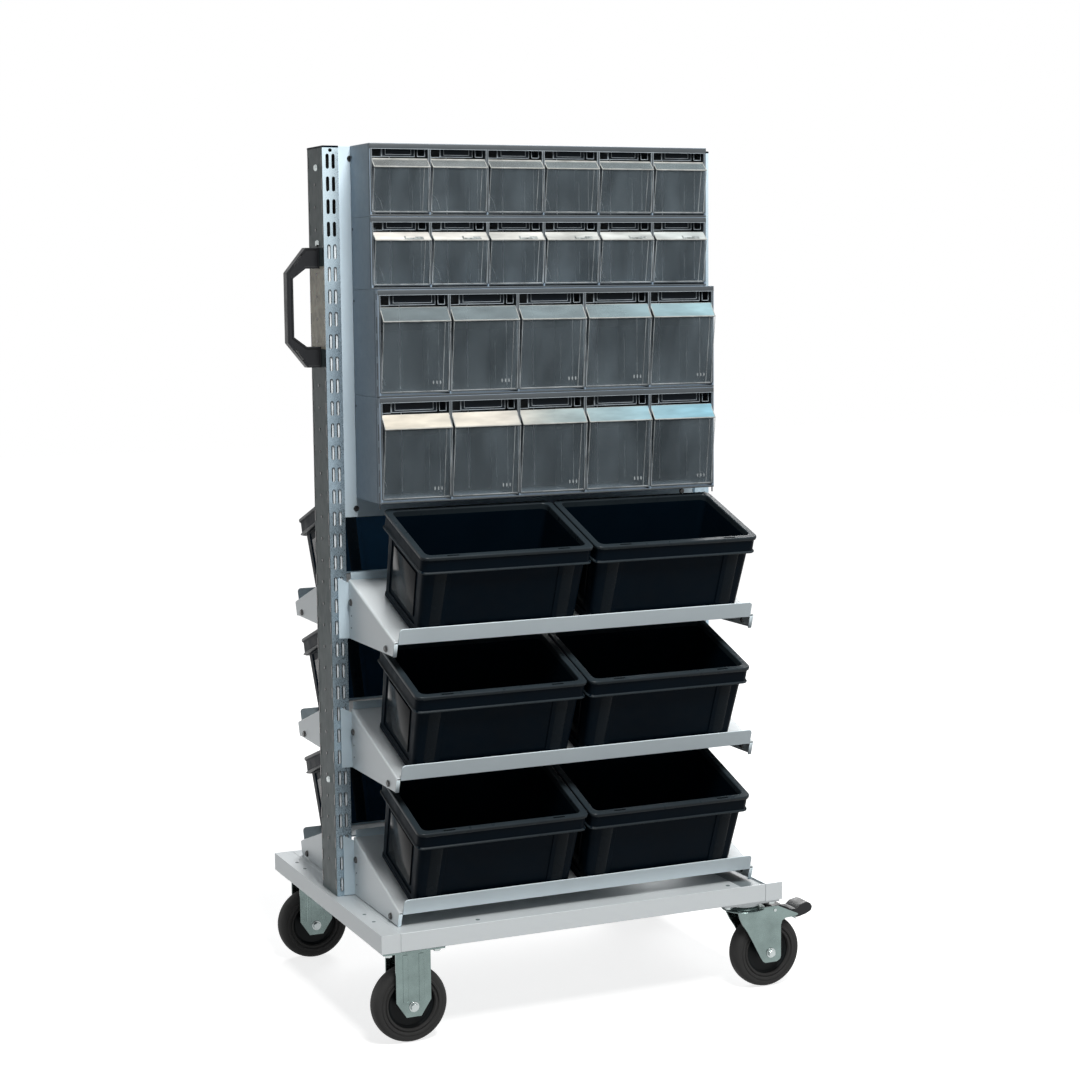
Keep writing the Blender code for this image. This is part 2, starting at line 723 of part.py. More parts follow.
def wheel():
    """A rubber-tyred wheel, turned about its axle, with a bore for it."""
    return turned(
        mirrored(
            [
                (AXLE_RADIUS + GAP, HUB_WIDTH / 2),
                (HUB_RADIUS, HUB_WIDTH / 2),
                (HUB_RADIUS, DISC_WIDTH / 2),
                (DISC_RADIUS, DISC_WIDTH / 2),
                (RIM_RADIUS, WHEEL_WIDTH / 2),
                (WHEEL_RADIUS - TYRE_EDGE, WHEEL_WIDTH / 2),
                (WHEEL_RADIUS - TREAD_SHOULDER, TREAD_WIDTH),
                (WHEEL_RADIUS, TREAD_WIDTH / 2),
            ]
        ),
        WHEEL_STEPS,
    )


def axle():
    """The axle bolt through the fork, with its head and nut, about the Y axis."""
    bolt = cylinder(AXLE_RADIUS, FORK_WIDTH, (0, 0, 0), axis="Y")
    heads = []
    overlap = FORK_SHEET / 2
    for side in (-1, 1):
        centre = (0, side * (FORK_WIDTH + BOLT_HEIGHT - overlap) / 2, 0)
        heads.append(cylinder(BOLT_RADIUS, BOLT_HEIGHT + overlap, centre, axis="Y", steps=6))
    return combined(bolt, joined=heads)


def fixed_fork():
    """A fixed caster's plate, its two legs and the axle, measured from the axle."""
    plate_top = CASTER_HEIGHT - WHEEL_RADIUS - GAP
    plate_bottom = PLATE_BOTTOM - WHEEL_RADIUS
    plate = box(
        (-PLATE_LENGTH / 2, -PLATE_WIDTH / 2, plate_bottom),
        (PLATE_LENGTH / 2, PLATE_WIDTH / 2, plate_top),
    )
    leg_half, foot_half = FIXED_LEG_WIDTH / 2, FIXED_LEG_FOOT / 2
    leg = [
        (-leg_half, plate_bottom + PLATE_SHEET / 2),
        (-leg_half, FIXED_LEG_SHOULDER),
        (-foot_half, -FORK_FOOT_DROP),
        (foot_half, -FORK_FOOT_DROP),
        (leg_half, FIXED_LEG_SHOULDER),
        (leg_half, plate_bottom + PLATE_SHEET / 2),
    ]
    return combined(plate, joined=[*legs(leg), axle()])


def legs(outline):
    """The outline as two side plates, one at each side of the wheel."""
    plates = []
    for side in (-1, 1):
        outer, inner = side * FORK_WIDTH / 2, side * (FORK_WIDTH / 2 - FORK_SHEET)
        plates.append(extrusion(outline, min(outer, inner), max(outer, inner), "Y"))
    return plates


def swivel_fork():
    """A swivel caster's head, its two curved legs and the axle, measured from the axle."""
    head_top = PLATE_BOTTOM - RACE_HEIGHT - GAP - WHEEL_RADIUS
    head_middle = (-TRAIL, 0, head_top - HEAD_SHEET / 2)
    head = cylinder(HEAD_RADIUS, HEAD_SHEET, head_middle, steps=WHEEL_STEPS, top_radius=RACE_RADIUS)
    root = head_top - HEAD_SHEET / 2
    leg = [
        (-SWIVEL_LEG_BACK - SWIVEL_FOOT_HALF / 2, root),
        (-SWIVEL_LEG_BACK, SWIVEL_LEG_BACK_RISE),
        (-SWIVEL_FOOT_HALF, -FORK_FOOT_DROP / 3),
        (-SWIVEL_FOOT_HALF / 2, -FORK_FOOT_DROP),
        (SWIVEL_FOOT_HALF / 2, -FORK_FOOT_DROP),
        (SWIVEL_FOOT_HALF, -FORK_FOOT_DROP / 2),
        (SWIVEL_FOOT_HALF, SWIVEL_LEG_BACK_RISE),
        (SWIVEL_EAR_ROOT, SWIVEL_EAR_RISE - SWIVEL_EAR_SHEET),
        (SWIVEL_EAR, SWIVEL_EAR_RISE - SWIVEL_EAR_SHEET / 2),
        (SWIVEL_EAR_ROOT / 2, root),
    ]
    pin_middle = (PEDAL_PIVOT_X - SWIVEL_X - TRAIL, 0, PEDAL_PIVOT_Z - WHEEL_RADIUS)
    pin_length = FORK_WIDTH - FORK_SHEET
    pin = cylinder(PEDAL_PIN_RADIUS, pin_length, pin_middle, axis="Y", steps=PIN_STEPS // 2)
    return combined(head, joined=[*legs(leg), axle(), pin])


def brake_pedal():
    """The brake's arm and foot pad, measured from its pivot between the fork's legs."""
    length = PEDAL_LENGTH
    pad_start = length - PEDAL_PAD_LENGTH
    half_arm, half_pad = PEDAL_ARM / 2, PEDAL_PAD_HEIGHT / 2
    outline = [
        (0, -half_arm),
        (pad_start, -PEDAL_DROP - half_arm),
        (pad_start + half_arm, -PEDAL_DROP - half_pad),
        (length - half_arm, -PEDAL_DROP - half_pad),
        (length, -PEDAL_DROP),
        (length - half_arm, half_pad - PEDAL_DROP),
        (pad_start + half_arm, half_pad - PEDAL_DROP),
        (pad_start, half_arm - PEDAL_DROP),
        (0, half_arm),
        (-half_arm, 0),
    ]
    arm = extrusion(outline, -PEDAL_WIDTH / 2, PEDAL_WIDTH / 2, "Y")
    bore_radius = PEDAL_PIN_RADIUS + GAP
    bore = cylinder(bore_radius, 2 * PEDAL_WIDTH, (0, 0, 0), axis="Y", steps=PIN_STEPS // 2)
    return combined(arm, cut=[bore])


def build_frame():
    add_part("base_frame", base_frame(), LIGHT_PAINT)
    add_part("deck", deck(), LIGHT_PAINT)
    add_part("upright_left", upright(-1), ZINC)
    add_part("upright_right", upright(1), ZINC)
    add_part("back_panel", back_panel(), LIGHT_PAINT)
    handle = add_part("push_handle", push_handle(), BLACK_PLASTIC)
    bevel = handle.modifiers.new("edges", "BEVEL")
    bevel.width = HANDLE_BEVEL
    bevel.segments = 1


def build_units():
    for unit, bins in enumerate(UNIT_BINS):
        add_part(f"bin_housing_{unit + 1}", housing(unit), SLATE_PLASTIC)
        mesh = tilt_bin(unit)
        hinge_y = unit_front(unit) + HINGE_INSET
        hinge_z = unit_top(unit + 1) + GAP / 2 + HOUSING_WALL + HINGE_INSET
        for place in range(bins):
            hinge = Matrix.Translation((cell_middle(unit, place), hinge_y, hinge_z))
            add_part(f"tilt_bin_{unit + 1}_{place + 1}", mesh, CLEAR_PLASTIC, hinge)


def build_shelves():
    shelf_mesh, box_mesh = shelf(), container()
    seat = shelf_point(BOX_SEAT + BOX_WIDTH / 2 - BOX_FOOT_INSET, GAP)
    for facing, turn in (("front", 0), ("rear", math.pi)):
        around = Matrix.Rotation(turn, 4, "Z")
        for level in range(SHELVES):
            drop = Matrix.Translation((0, 0, -level * SHELF_SLOTS * SLOT_PITCH))
            add_part(f"shelf_{facing}_{level + 1}", shelf_mesh, LIGHT_PAINT, drop @ around)
            for side, word in ((-1, "left"), (1, "right")):
                across = side * (BOX_LENGTH + BOX_SPACING) / 2
                shift = BOX_ROW_SHIFTS[level] if facing == "front" else 0
                seated = Matrix.Translation((across + shift, *seat))
                rest = seated @ Matrix.Rotation(SHELF_TILT, 4, "X")
                name = f"container_{facing}_{level + 1}_{word}"
                add_part(name, box_mesh, BLACK_PLASTIC, drop @ around @ rest)


def build_casters():
    wheel_mesh, fixed_mesh = wheel(), fixed_fork()
    swivel_mesh, pedal_mesh = swivel_fork(), brake_pedal()
    for side, word in ((-1, "front"), (1, "rear")):
        fixed_place = Matrix.Translation((FIXED_X, side * CASTER_Y, WHEEL_RADIUS))
        add_part(f"fixed_fork_{word}", fixed_mesh, ZINC, fixed_place)
        add_part(f"wheel_fixed_{word}", wheel_mesh, RUBBER, fixed_place, smooth=True)
        swivel_place = Matrix.Translation((SWIVEL_X, side * CASTER_Y, WHEEL_RADIUS))
        swivel = axis_empty(f"swivel_axis_{word}", swivel_place)
        trail = Matrix.Translation((TRAIL, 0, 0))
        add_part(f"swivel_fork_{word}", swivel_mesh, ZINC, trail, swivel)
        add_part(f"wheel_swivel_{word}", wheel_mesh, RUBBER, trail, swivel, smooth=True)
        pivot = Matrix.Translation((PEDAL_PIVOT_X - SWIVEL_X, 0, PEDAL_PIVOT_Z - WHEEL_RADIUS))
        add_part(f"brake_pedal_{word}", pedal_mesh, BLACK_PLASTIC, pivot, swivel)


clear_scene()
PARTS = new_collection("mobile_bin_cart")
LIGHT_PAINT = new_material("light_grey_paint", (0.62, 0.66, 0.68), 0.35)
ZINC = new_material("zinc_plated_steel", (0.55, 0.58, 0.57), 0.35, metallic=0.9)
SLATE_PLASTIC = new_material("slate_grey_plastic", (0.10, 0.13, 0.15), 0.5)
CLEAR_PLASTIC = new_material("clear_smoky_plastic", (0.20, 0.24, 0.26), 0.15, alpha=0.5)
BLACK_PLASTIC = new_material("black_plastic", (0.008, 0.010, 0.013), 0.4)
RUBBER = new_material("black_rubber", (0.015, 0.015, 0.015), 0.75)
CART = bpy.data.objects.new("cart", None)
PARTS.objects.link(CART)
CART.location.x = FOOTPRINT_SHIFT
build_frame()
build_units()
build_shelves()
build_casters()
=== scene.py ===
"""Looks of the mobile bin cart: its detailed pieces, finishes, light and camera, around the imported
model. Metres, +Z up, the tilt bins face -Y and the push handle is at -X."""

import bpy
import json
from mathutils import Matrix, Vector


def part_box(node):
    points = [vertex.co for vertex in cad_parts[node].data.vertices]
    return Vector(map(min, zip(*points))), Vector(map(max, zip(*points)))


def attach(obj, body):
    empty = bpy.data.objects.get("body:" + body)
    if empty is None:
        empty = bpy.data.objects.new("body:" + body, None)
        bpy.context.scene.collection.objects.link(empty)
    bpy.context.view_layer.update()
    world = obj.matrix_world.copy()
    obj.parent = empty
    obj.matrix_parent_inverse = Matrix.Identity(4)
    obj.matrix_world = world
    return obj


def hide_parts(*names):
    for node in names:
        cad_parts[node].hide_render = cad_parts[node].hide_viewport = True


bl_info = {
    "name": "Mobile Bin Cart",
    "version": (1, 0, 0),
    "blender": (4, 5, 0),
    "location": "View3D > Sidebar > Bin Cart",
    "description": "Builds the detailed pieces and finishes of a workshop bin cart",
    "category": "Object",
}

import json
import math

import bmesh
import bpy
from bpy.props import FloatProperty, FloatVectorProperty, PointerProperty
from mathutils import Matrix, Vector

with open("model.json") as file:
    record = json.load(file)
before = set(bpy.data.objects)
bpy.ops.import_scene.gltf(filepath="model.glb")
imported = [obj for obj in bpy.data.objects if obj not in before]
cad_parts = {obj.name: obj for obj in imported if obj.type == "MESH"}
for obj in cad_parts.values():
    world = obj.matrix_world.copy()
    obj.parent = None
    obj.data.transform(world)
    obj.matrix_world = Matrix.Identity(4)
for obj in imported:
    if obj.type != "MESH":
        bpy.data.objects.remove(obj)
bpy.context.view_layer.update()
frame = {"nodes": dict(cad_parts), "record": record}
BEHAVIOUR = frame["record"]["behaviour"]
BODY_OF = {node: body for body, nodes in BEHAVIOUR["bodies"].items() for node in nodes}
JOINT_AT = {
    joint["child"]: Vector(joint["pos_m"]) for joint in BEHAVIOUR["joints"] if joint["type"] == "hinge"
}
BASE_LOW, BASE_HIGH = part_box("base_frame")
HOUSING_LOW, HOUSING_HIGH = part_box("bin_housing_1")
MIDDLE_X = (BASE_LOW.x + BASE_HIGH.x) / 2
MIDDLE_X_OF_RACK = (HOUSING_LOW.x + HOUSING_HIGH.x) / 2
BASE_TOP = BASE_HIGH.z
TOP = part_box("upright_left")[1].z
ENDS = ("front", "rear")

# Thickness of sheets, and a small gap between faces that would else meet
SHEET = 0.002
CLEAR = 0.0003

# Base and deck, with the screws' places from the middle
CHANNEL_BOTTOM = 0.157
DECK_STRIP = 0.046
DECK_STRIP_DROP = 0.003
DECK_SCREW_XS = (-0.19, 0.265)
DECK_SCREW_YS = (-0.262, 0.262)
CHANNEL_SCREW_X = 0.344
CHANNEL_SCREW_YS = (0.20, 0.155, -0.20, -0.155)

# Slotted uprights
UPRIGHT_WALL = 0.002
CAP_SHEET = 0.003
SLOT_PITCH = 0.036
SLOT_HEIGHT = 0.024
SLOT_WIDTH = 0.0055
SLOT_SPACING = 0.010
SLOT_START = 0.013
SLOT_ROWS = 34
CROSS_HOLE_DROP = 0.0075
CROSS_HOLE_RADIUS = 0.003
INNER_FLANGE_DROP = 0.158
UPRIGHT_SCREW_DROPS = (0.034, 0.155, 1.04)
REFLECTION_PATCH_INSET = 0.030
NOTCH_HALF = 0.009

# Handle: the straight part of its arms, and where its grip slots start and end from its root
HANDLE_ARM = 0.0235
GRIP_SLOT = ((0.0285, 0.0865), (0.0425, 0.0672))
GRIP_SLOT_HALF = 0.0013

# Sloping shelves
TRAY_TILT = math.radians(19)
TRAY_LIP = 0.0242
TRAY_HEM = 0.0025
TRAY_STEP = 0.216
TRAY_BEND = 0.0032
LIP_Y = 0.260
LIP_Z = 0.665
LIP_CORNER = 0.006
FLANGE_HEIGHTS = {"front": 0.0125, "rear": 0.003}
FLANGE_RISE = 0.058
FLANGE_HEIGHT = 0.103
BRACKET_DROP = 0.027
BRACKET_REAR = -0.0383
HOOK_ROWS = (20, 21)
HOOK_X = 0.3315
SHELF_HALF = 0.320
RETURN_WIDTH = 0.0065

# Containers
BOX_LENGTH = 0.2935
BOX_WIDTH = 0.186
BOX_HEIGHT = 0.147
SKIRT = 0.030
SKIRT_Z = BOX_HEIGHT - SKIRT
BOX_FOOT = 0.0085
FOOT_INSET = 0.0130
BOX_TAPER = math.atan((FOOT_INSET - 0.0085) / (SKIRT_Z - BOX_FOOT))
RECESS_DEPTH = 0.0018

# Tilt bins, small and large
UNIT_WIDTH = 0.600
UNIT_BINS = (6, 6, 5, 5)
UNIT_HEIGHTS = (0.115, 0.115, 0.170, 0.170)
UNIT_DEPTHS = (0.092, 0.092, 0.119, 0.119)
CREST_DROPS = (0.0255, 0.0255, 0.029, 0.029)
LIP_RISES = (0.012, 0.012, 0.0215, 0.0215)
LIP_REACHES = (0.012, 0.012, 0.015, 0.015)
TAB_WIDTHS = (0.056, 0.056, 0.078, 0.078)
TAB_HEIGHTS = (0.018, 0.018, 0.022, 0.022)
TAB_SETBACK = 0.009
TAB_STEP = 0.0058
DIVIDER = 0.0025
HINGE_INSET = 0.006
HOUSING_WALL = 0.003
BIN_SIDE_GAP = 0.0006
BIN_REAR_GAP = 0.0032
BIN_FOOT = (-0.004, -0.004)
BIN_CREST_Y = -0.002
FIRST_LARGE_UNIT = 2
SHADED_LIP_UNIT = 1
MARK_RISE = 0.0165
MARK_SPACING = 0.006
MARK_STRETCH = 2.6

# Casters
CASTER_PLATE = 0.004
CASTER_PLATE_HALF_X = 0.0525
CASTER_PLATE_HALF_Y = 0.032
SWIVEL_RING_Z = 0.150
SWIVEL_BOLT_Z = 0.1508
BOLT_RADIUS = 0.0062
BOLT_HEIGHT = 0.0044
PLATE_BOLT_X = 0.041
PLATE_BOLT_Y = 0.023
FORK_RIB_REACH = 0.0135
FORK_RIB_RISE = 0.047
FORK_RIB_FLATNESS = 0.32
FORK_OUTER = 0.025
FORK_INNER = 0.022
KING_PIN_OFFSET = 0.040
SWIVEL_HEAD_TOP = 0.1467
BIG_SCREW = dict(radius=0.0058, height=0.0042)

CAMERA_PLACE = (-1.4983, -3.4382, 1.2050)
CAMERA_TURN = (83.353, 0.569, -23.901)
CAMERA_LENS = 73.42
CAMERA_SHIFT = (0.0046, -0.0044)
LAMPS = (
    ("key_softbox", (-0.10, -2.08, 3.6), (0, -0.1, 0.7), (1.0, 1.4), 158, (1.0, 0.99, 0.97)),
    ("back_softbox", (1.5, 2.6, 2.2), (0, 0, 0.8), (1.6, 1.6), 60, (1.0, 1.0, 1.0)),
)

# Painted reflection: the glare on the lips, as colours from left to right along each row of tilt bins
LIP_GLARE_TINTS = (
    ((0.0, (0.42, 0.43, 0.42)), (1.0, (0.36, 0.44, 0.46))),
    ((0.0, (0.80, 0.77, 0.72)), (1.0, (0.62, 0.68, 0.68))),
    ((0.0, (0.22, 0.27, 0.29)), (0.6, (0.30, 0.38, 0.41)), (1.0, (0.48, 0.74, 0.82))),
    (
        (0.0, (0.88, 0.82, 0.70)),
        (0.36, (0.84, 0.80, 0.72)),
        (0.5, (0.40, 0.47, 0.47)),
        (1.0, (0.30, 0.60, 0.74)),
    ),
)
# How opaque and how uneven each row's lips are, so that their painted glare shows
LIP_GLARE_ALPHAS = (0.20, 0.88, 0.50, 0.80)
LIP_MOTTLES = (0.35, 0.45, 0.35, 0.35)

# Each finish by its material's name: a colour or the name of one that a user sets, the lowest and
# the highest roughness, and what else its surface has
SATIN = (0.32, 0.44)
MATT_COAT = dict(mottle=0.025, grain=700, bump=0.012, specular=0.0)
FINISHES = {
    "light_grey_paint": ("paint", SATIN, MATT_COAT),
    # Painted light: a brighter, bluer copy of the paint for the back panel, which lies in part shade
    "panel_paint": ((0.64, 0.76, 0.84), SATIN, dict(mottle=0.03, bump=0.012, specular=0.0)),
    "shelf_paint": ((0.54, 0.655, 0.73), SATIN, MATT_COAT),
    # Painted light: a brighter copy of the paint for the shelf lips, which face a little downward
    "lip_paint": ((0.82, 0.93, 0.99), SATIN, MATT_COAT),
    "grey_deck_strip": ((0.17, 0.20, 0.215), (0.3, 0.42), dict(mottle=0.05, grain=700, bump=0.1)),
    # Painted reflection: the zinc is paler and bluer from 1.12 m to 1.40 m up, where the uprights' fronts
    # mirror bright light
    "zinc_plate": (
        "zinc",
        (0.24, 0.36),
        dict(
            metallic=1.0,
            mottle=0.10,
            mottle_scale=150,
            stretch=(1, 1, 0.7),
            grain=420,
            bump=0.02,
            upper=((0.76, 0.92, 1.0), 1.12, 1.40),
        ),
    ),
    # Painted shade: a dull, darker copy of the zinc for the uprights' outer sides; the deck screws share it
    "dull_zinc": (
        (0.125, 0.165, 0.170),
        (0.30, 0.45),
        dict(mottle=0.16, mottle_scale=30, stretch=(1, 1, 0.4), grain=300, bump=0.03, specular=0.08),
    ),
    # Painted shade inside the hollow uprights
    "dark_inside": ((0.004, 0.005, 0.007), (0.5, 0.7), dict(specular=0.05)),
    # Painted reflection: a pale patch of light on the zinc beside the push handle
    "pale_zinc_plate": (
        (0.92, 0.86, 0.72), (0.4, 0.5), dict(mottle=0.22, mottle_scale=70, bump=0.03, specular=0.2)
    ),
    # Painted light: a pale colour for the strips seen through the uprights' slots
    "inner_flange_zinc": ((0.70, 0.76, 0.80), (0.4, 0.5), dict(mottle=0.25, mottle_scale=60)),
    "caster_zinc": (
        (0.175, 0.225, 0.218),
        (0.16, 0.32),
        dict(metallic=1.0, mottle=0.13, mottle_scale=34, grain=220, bump=0.02),
    ),
    "slate_grey_plastic": (
        "slate", (0.36, 0.50), dict(mottle=0.05, mottle_scale=16, grain=1500, bump=0.12)
    ),
    "frame_grey_plastic": (
        (0.066, 0.077, 0.086),
        (0.32, 0.46),
        dict(mottle=0.08, mottle_scale=16, grain=1400, bump=0.02, specular=0.4),
    ),
    # Painted highlight: pale lines along the housings' edges and round the stop tabs
    "frame_edge_plastic": ((0.34, 0.39, 0.43), (0.2, 0.3), dict(mottle=0.25, mottle_scale=30)),
    # Painted highlight: pale ribs and arcs inside the cells
    "pale_cell_rib": (
        (0.75, 0.80, 0.84), (0.3, 0.5), dict(mottle=0.4, mottle_scale=24, stretch=(1, 1, 0.3))
    ),
    "tab_grey_plastic": ((0.014, 0.020, 0.027), (0.3, 0.45), dict(mottle=0.2, specular=0.08)),
    "slate_strip": ((0.24, 0.31, 0.39), (0.28, 0.4), dict(mottle=0.12, mottle_scale=60, bump=0.1)),
    # Painted shade: a near-black sheet inside the cells and in the housings' grooves and slots
    "dark_cell_plastic": (
        (0.020, 0.025, 0.030), (0.45, 0.6), dict(mottle=0.15, mottle_scale=12, grain=1300)
    ),
    "clear_smoky_plastic": (
        "clear",
        (0.05, 0.10),
        dict(mottle=0.35, mottle_scale=16, stretch=(1.6, 1, 0.5), bump=0.0, alpha=0.13, specular=0.1),
    ),
    # Painted highlight: a paler, less clear plastic for the bins' ribs and marks
    "clear_plastic_ribs": (
        (0.52, 0.55, 0.56), (0.08, 0.2), dict(mottle=0.5, mottle_scale=30, bump=0.0, alpha=0.42)
    ),
    # Painted highlight on the edges of the bins' lips
    "clear_plastic_edge": (
        (0.50, 0.51, 0.49), (0.08, 0.2), dict(mottle=0.25, mottle_scale=50, grain=90, bump=0.1, alpha=0.7)
    ),
    "lip_reflection": ((0.30, 0.33, 0.33), (0.2, 0.3), dict(mottle=0.7, mottle_scale=220, alpha=0.8)),
    # Painted light: a brighter navy copy of the containers' black
    "navy_black_plastic": ((0.009, 0.032, 0.062), (0.4, 0.6), dict(mottle=0.15, specular=0.05)),
    "black_plastic_post": ((0.004, 0.009, 0.014), (0.22, 0.3), dict(mottle=0.2, specular=0.05)),
    "black_container_plastic": (
        "black", (0.34, 0.48), dict(mottle=0.15, mottle_scale=10, grain=1200, bump=0.03, specular=0.03)
    ),
    # Painted highlight: a lighter copy of the containers' black for the rim top and the bead
    "black_rim_plastic": (
        (0.020, 0.028, 0.034),
        (0.26, 0.36),
        dict(mottle=0.12, mottle_scale=12, grain=1200, bump=0.02, specular=0.10),
    ),
    "smooth_black_plastic": (
        (0.006, 0.010, 0.014), (0.12, 0.2), dict(mottle=0.3, mottle_scale=14, bump=0.03, specular=0.06)
    ),
    "black_handle_plastic": (
        (0.007, 0.008, 0.010), (0.36, 0.5), dict(mottle=0.1, grain=1600, bump=0.2, specular=0.30)
    ),
    "black_rubber": (
        "rubber", (0.45, 0.62), dict(mottle=0.2, mottle_scale=40, grain=1000, bump=0.05, specular=0.06)
    ),
    "wheel_black_plastic": ((0.004, 0.006, 0.007), (0.3, 0.42), dict(mottle=0.2, specular=0.12)),
    "black_screw": ((0.010, 0.010, 0.011), (0.22, 0.32), dict(bump=0.05)),
    "bright_screw": ((0.42, 0.46, 0.46), (0.14, 0.25), dict(metallic=1.0, bump=0.05)),
}
LIP_SURFACE = dict(mottle_scale=32, stretch=(0.5, 1, 2.4), bump=0.0, specular=0.4)
# Each row's lips get a finish of painted reflection: glare colours across the row
for row, (glare_tints, alpha, mottle) in enumerate(zip(LIP_GLARE_TINTS, LIP_GLARE_ALPHAS, LIP_MOTTLES), 1):
    lip_surface = dict(LIP_SURFACE, across=glare_tints, alpha=alpha, mottle=mottle)
    FINISHES[f"plastic_lip_{row}"] = ((0.5, 0.5, 0.5), (0.08, 0.2), lip_surface)


class BinCartSizes(bpy.types.PropertyGroup):
    sheet_edge: FloatProperty(
        name="Sheet edge", description="Rounding of folded steel edges", default=0.0007, unit="LENGTH"
    )
    plastic_edge: FloatProperty(
        name="Plastic edge", description="Rounding of moulded edges", default=0.0006, unit="LENGTH"
    )
    bin_wall: FloatProperty(
        name="Bin wall", description="Wall of the clear tilt bins", default=0.0018, unit="LENGTH"
    )


class BinCartColours(bpy.types.PropertyGroup):
    paint: FloatVectorProperty(
        name="Paint",
        description="Light grey paint of the base and shelves",
        subtype="COLOR",
        default=(0.57, 0.625, 0.65),
    )
    zinc: FloatVectorProperty(
        name="Zinc", description="Zinc plate of the uprights", subtype="COLOR", default=(0.36, 0.46, 0.53)
    )
    slate: FloatVectorProperty(
        name="Housing",
        description="Grey of the bin housings",
        subtype="COLOR",
        default=(0.21, 0.275, 0.345),
    )
    clear: FloatVectorProperty(
        name="Tilt bins",
        description="Tint of the clear tilt bins",
        subtype="COLOR",
        default=(0.29, 0.36, 0.41),
    )
    black: FloatVectorProperty(
        name="Containers",
        description="Black of the containers",
        subtype="COLOR",
        default=(0.0015, 0.0055, 0.0105),
    )
    rubber: FloatVectorProperty(
        name="Tyres", description="Black of the tyres", subtype="COLOR", default=(0.003, 0.005, 0.006)
    )


def sizes():
    return bpy.context.scene.bin_cart_sizes


def linked(tree, kind, **values):
    """A shader node whose named inputs are set to values or joined to other nodes' outputs."""
    node = tree.nodes.new(kind)
    for key, value in values.items():
        fill(tree, node.inputs[key.replace("_", " ")], value)
    return node


def fill(tree, socket, value):
    """Joins a socket to another node's output, or sets it to a value."""
    if isinstance(value, bpy.types.NodeSocket):
        tree.links.new(value, socket)
    else:
        socket.default_value = value


def object_place(tree):
    return linked(tree, "ShaderNodeTexCoord").outputs["Object"]


def object_axis(tree, axis):
    return linked(tree, "ShaderNodeSeparateXYZ", Vector=object_place(tree)).outputs[axis]


def pattern(tree, scale, stretch=(1, 1, 1), detail=3.0):
    """A noise from 0 to 1 over the piece."""
    place = object_place(tree)
    stretched = linked(tree, "ShaderNodeMapping", Vector=place, Scale=stretch).outputs["Vector"]
    noise = linked(tree, "ShaderNodeTexNoise", Vector=stretched, Scale=scale, Detail=detail)
    return noise.outputs["Fac"]


def ranged(tree, value, low, high, start=0.3, end=0.7):
    node = linked(
        tree, "ShaderNodeMapRange", Value=value, From_Min=start, From_Max=end, To_Min=low, To_Max=high
    )
    return node.outputs["Result"]


def mixed(tree, factor, first, second):
    node = tree.nodes.new("ShaderNodeMix")
    node.data_type = "RGBA"
    tree.links.new(factor, node.inputs[0])
    for socket, value in ((node.inputs[6], first), (node.inputs[7], second)):
        fill(tree, socket, value if isinstance(value, bpy.types.NodeSocket) else (*value, 1))
    return node.outputs[2]


def scaled(colour, share):
    return tuple(channel * share for channel in colour)


def painted_glare_across_the_rack(tree, glare_tints, slow, mottle):
    """Painted reflection: a ramp of glare colours from the left to the right end of a tilt-bin unit, with a
    slow unevenness.
    """
    left = MIDDLE_X_OF_RACK - UNIT_WIDTH / 2
    share = ranged(tree, object_axis(tree, "X"), 0, 1, left, MIDDLE_X_OF_RACK + UNIT_WIDTH / 2)
    ramp = linked(tree, "ShaderNodeValToRGB", Fac=share)
    stops = ramp.color_ramp.elements
    for count, (at, tint) in enumerate(glare_tints):
        stop = stops[count] if count < 2 else stops.new(at)
        stop.position = at
        stop.color = (*tint, 1)
    shade = linked(
        tree,
        "ShaderNodeHueSaturation",
        Color=ramp.outputs["Color"],
        Value=ranged(tree, slow, 1 - mottle, 1),
    )
    return shade.outputs["Color"]


def finish(
    name,
    colour,
    roughness,
    metallic=0.0,
    mottle=0.06,
    mottle_scale=9,
    stretch=(1, 1, 1),
    grain=900,
    bump=0.08,
    specular=0.5,
    alpha=1.0,
    upper=None,
    across=None,
):
    """A surface with a slow change of tone, a fine grain and uneven gloss."""
    material = bpy.data.materials.new(name)
    material.use_nodes = True
    tree = material.node_tree
    slow = pattern(tree, mottle_scale, stretch)
    spread = ranged(tree, slow, 0, 1)
    tone = mixed(tree, spread, scaled(colour, 1 - mottle), scaled(colour, 1 + mottle))
    # Painted reflection: a paler colour that takes over between two heights
    if upper:
        reflection_colour, start, end = upper
        pale = mixed(tree, spread, scaled(reflection_colour, 1 - mottle / 3), reflection_colour)
        tone = mixed(tree, ranged(tree, object_axis(tree, "Z"), 0, 1, start, end), tone, pale)
    # Painted reflection: glare colours across the rack take the place of the tone
    if across:
        tone = painted_glare_across_the_rack(tree, across, slow, mottle)
    uneven = pattern(tree, mottle_scale * 5, stretch)
    fine = pattern(tree, grain, detail=2.0)
    relief = linked(tree, "ShaderNodeBump", Strength=bump, Distance=0.0002, Height=fine)
    shader = tree.nodes["Principled BSDF"]
    for key, value in (
        ("Base Color", tone),
        ("Roughness", ranged(tree, uneven, *roughness)),
        ("Metallic", metallic),
        ("Specular IOR Level", specular),
        ("Alpha", alpha),
        ("Normal", relief.outputs["Normal"]),
    ):
        fill(tree, shader.inputs[key], value)
    return material


def surface(name):
    """The material of a finish, made when it is first used."""
    material = bpy.data.materials.get(name)
    if material:
        return material
    colour, roughness, details = FINISHES[name]
    if isinstance(colour, str):
        colour = getattr(bpy.context.scene.bin_cart_colours, colour)
    return finish(name, colour, roughness, **details)


def round_off(shape, parts, offset, affect="EDGES", segments=2):
    bmesh.ops.bevel(
        shape, geom=parts, offset=offset, affect=affect, segments=segments, profile=0.5, material=-1
    )


def ring(shape, points):
    """The vertices and edges of a closed line through points."""
    corners = [shape.verts.new(point) for point in points]
    return corners, [shape.edges.new(pair) for pair in zip(corners, corners[1:] + corners[:1])]


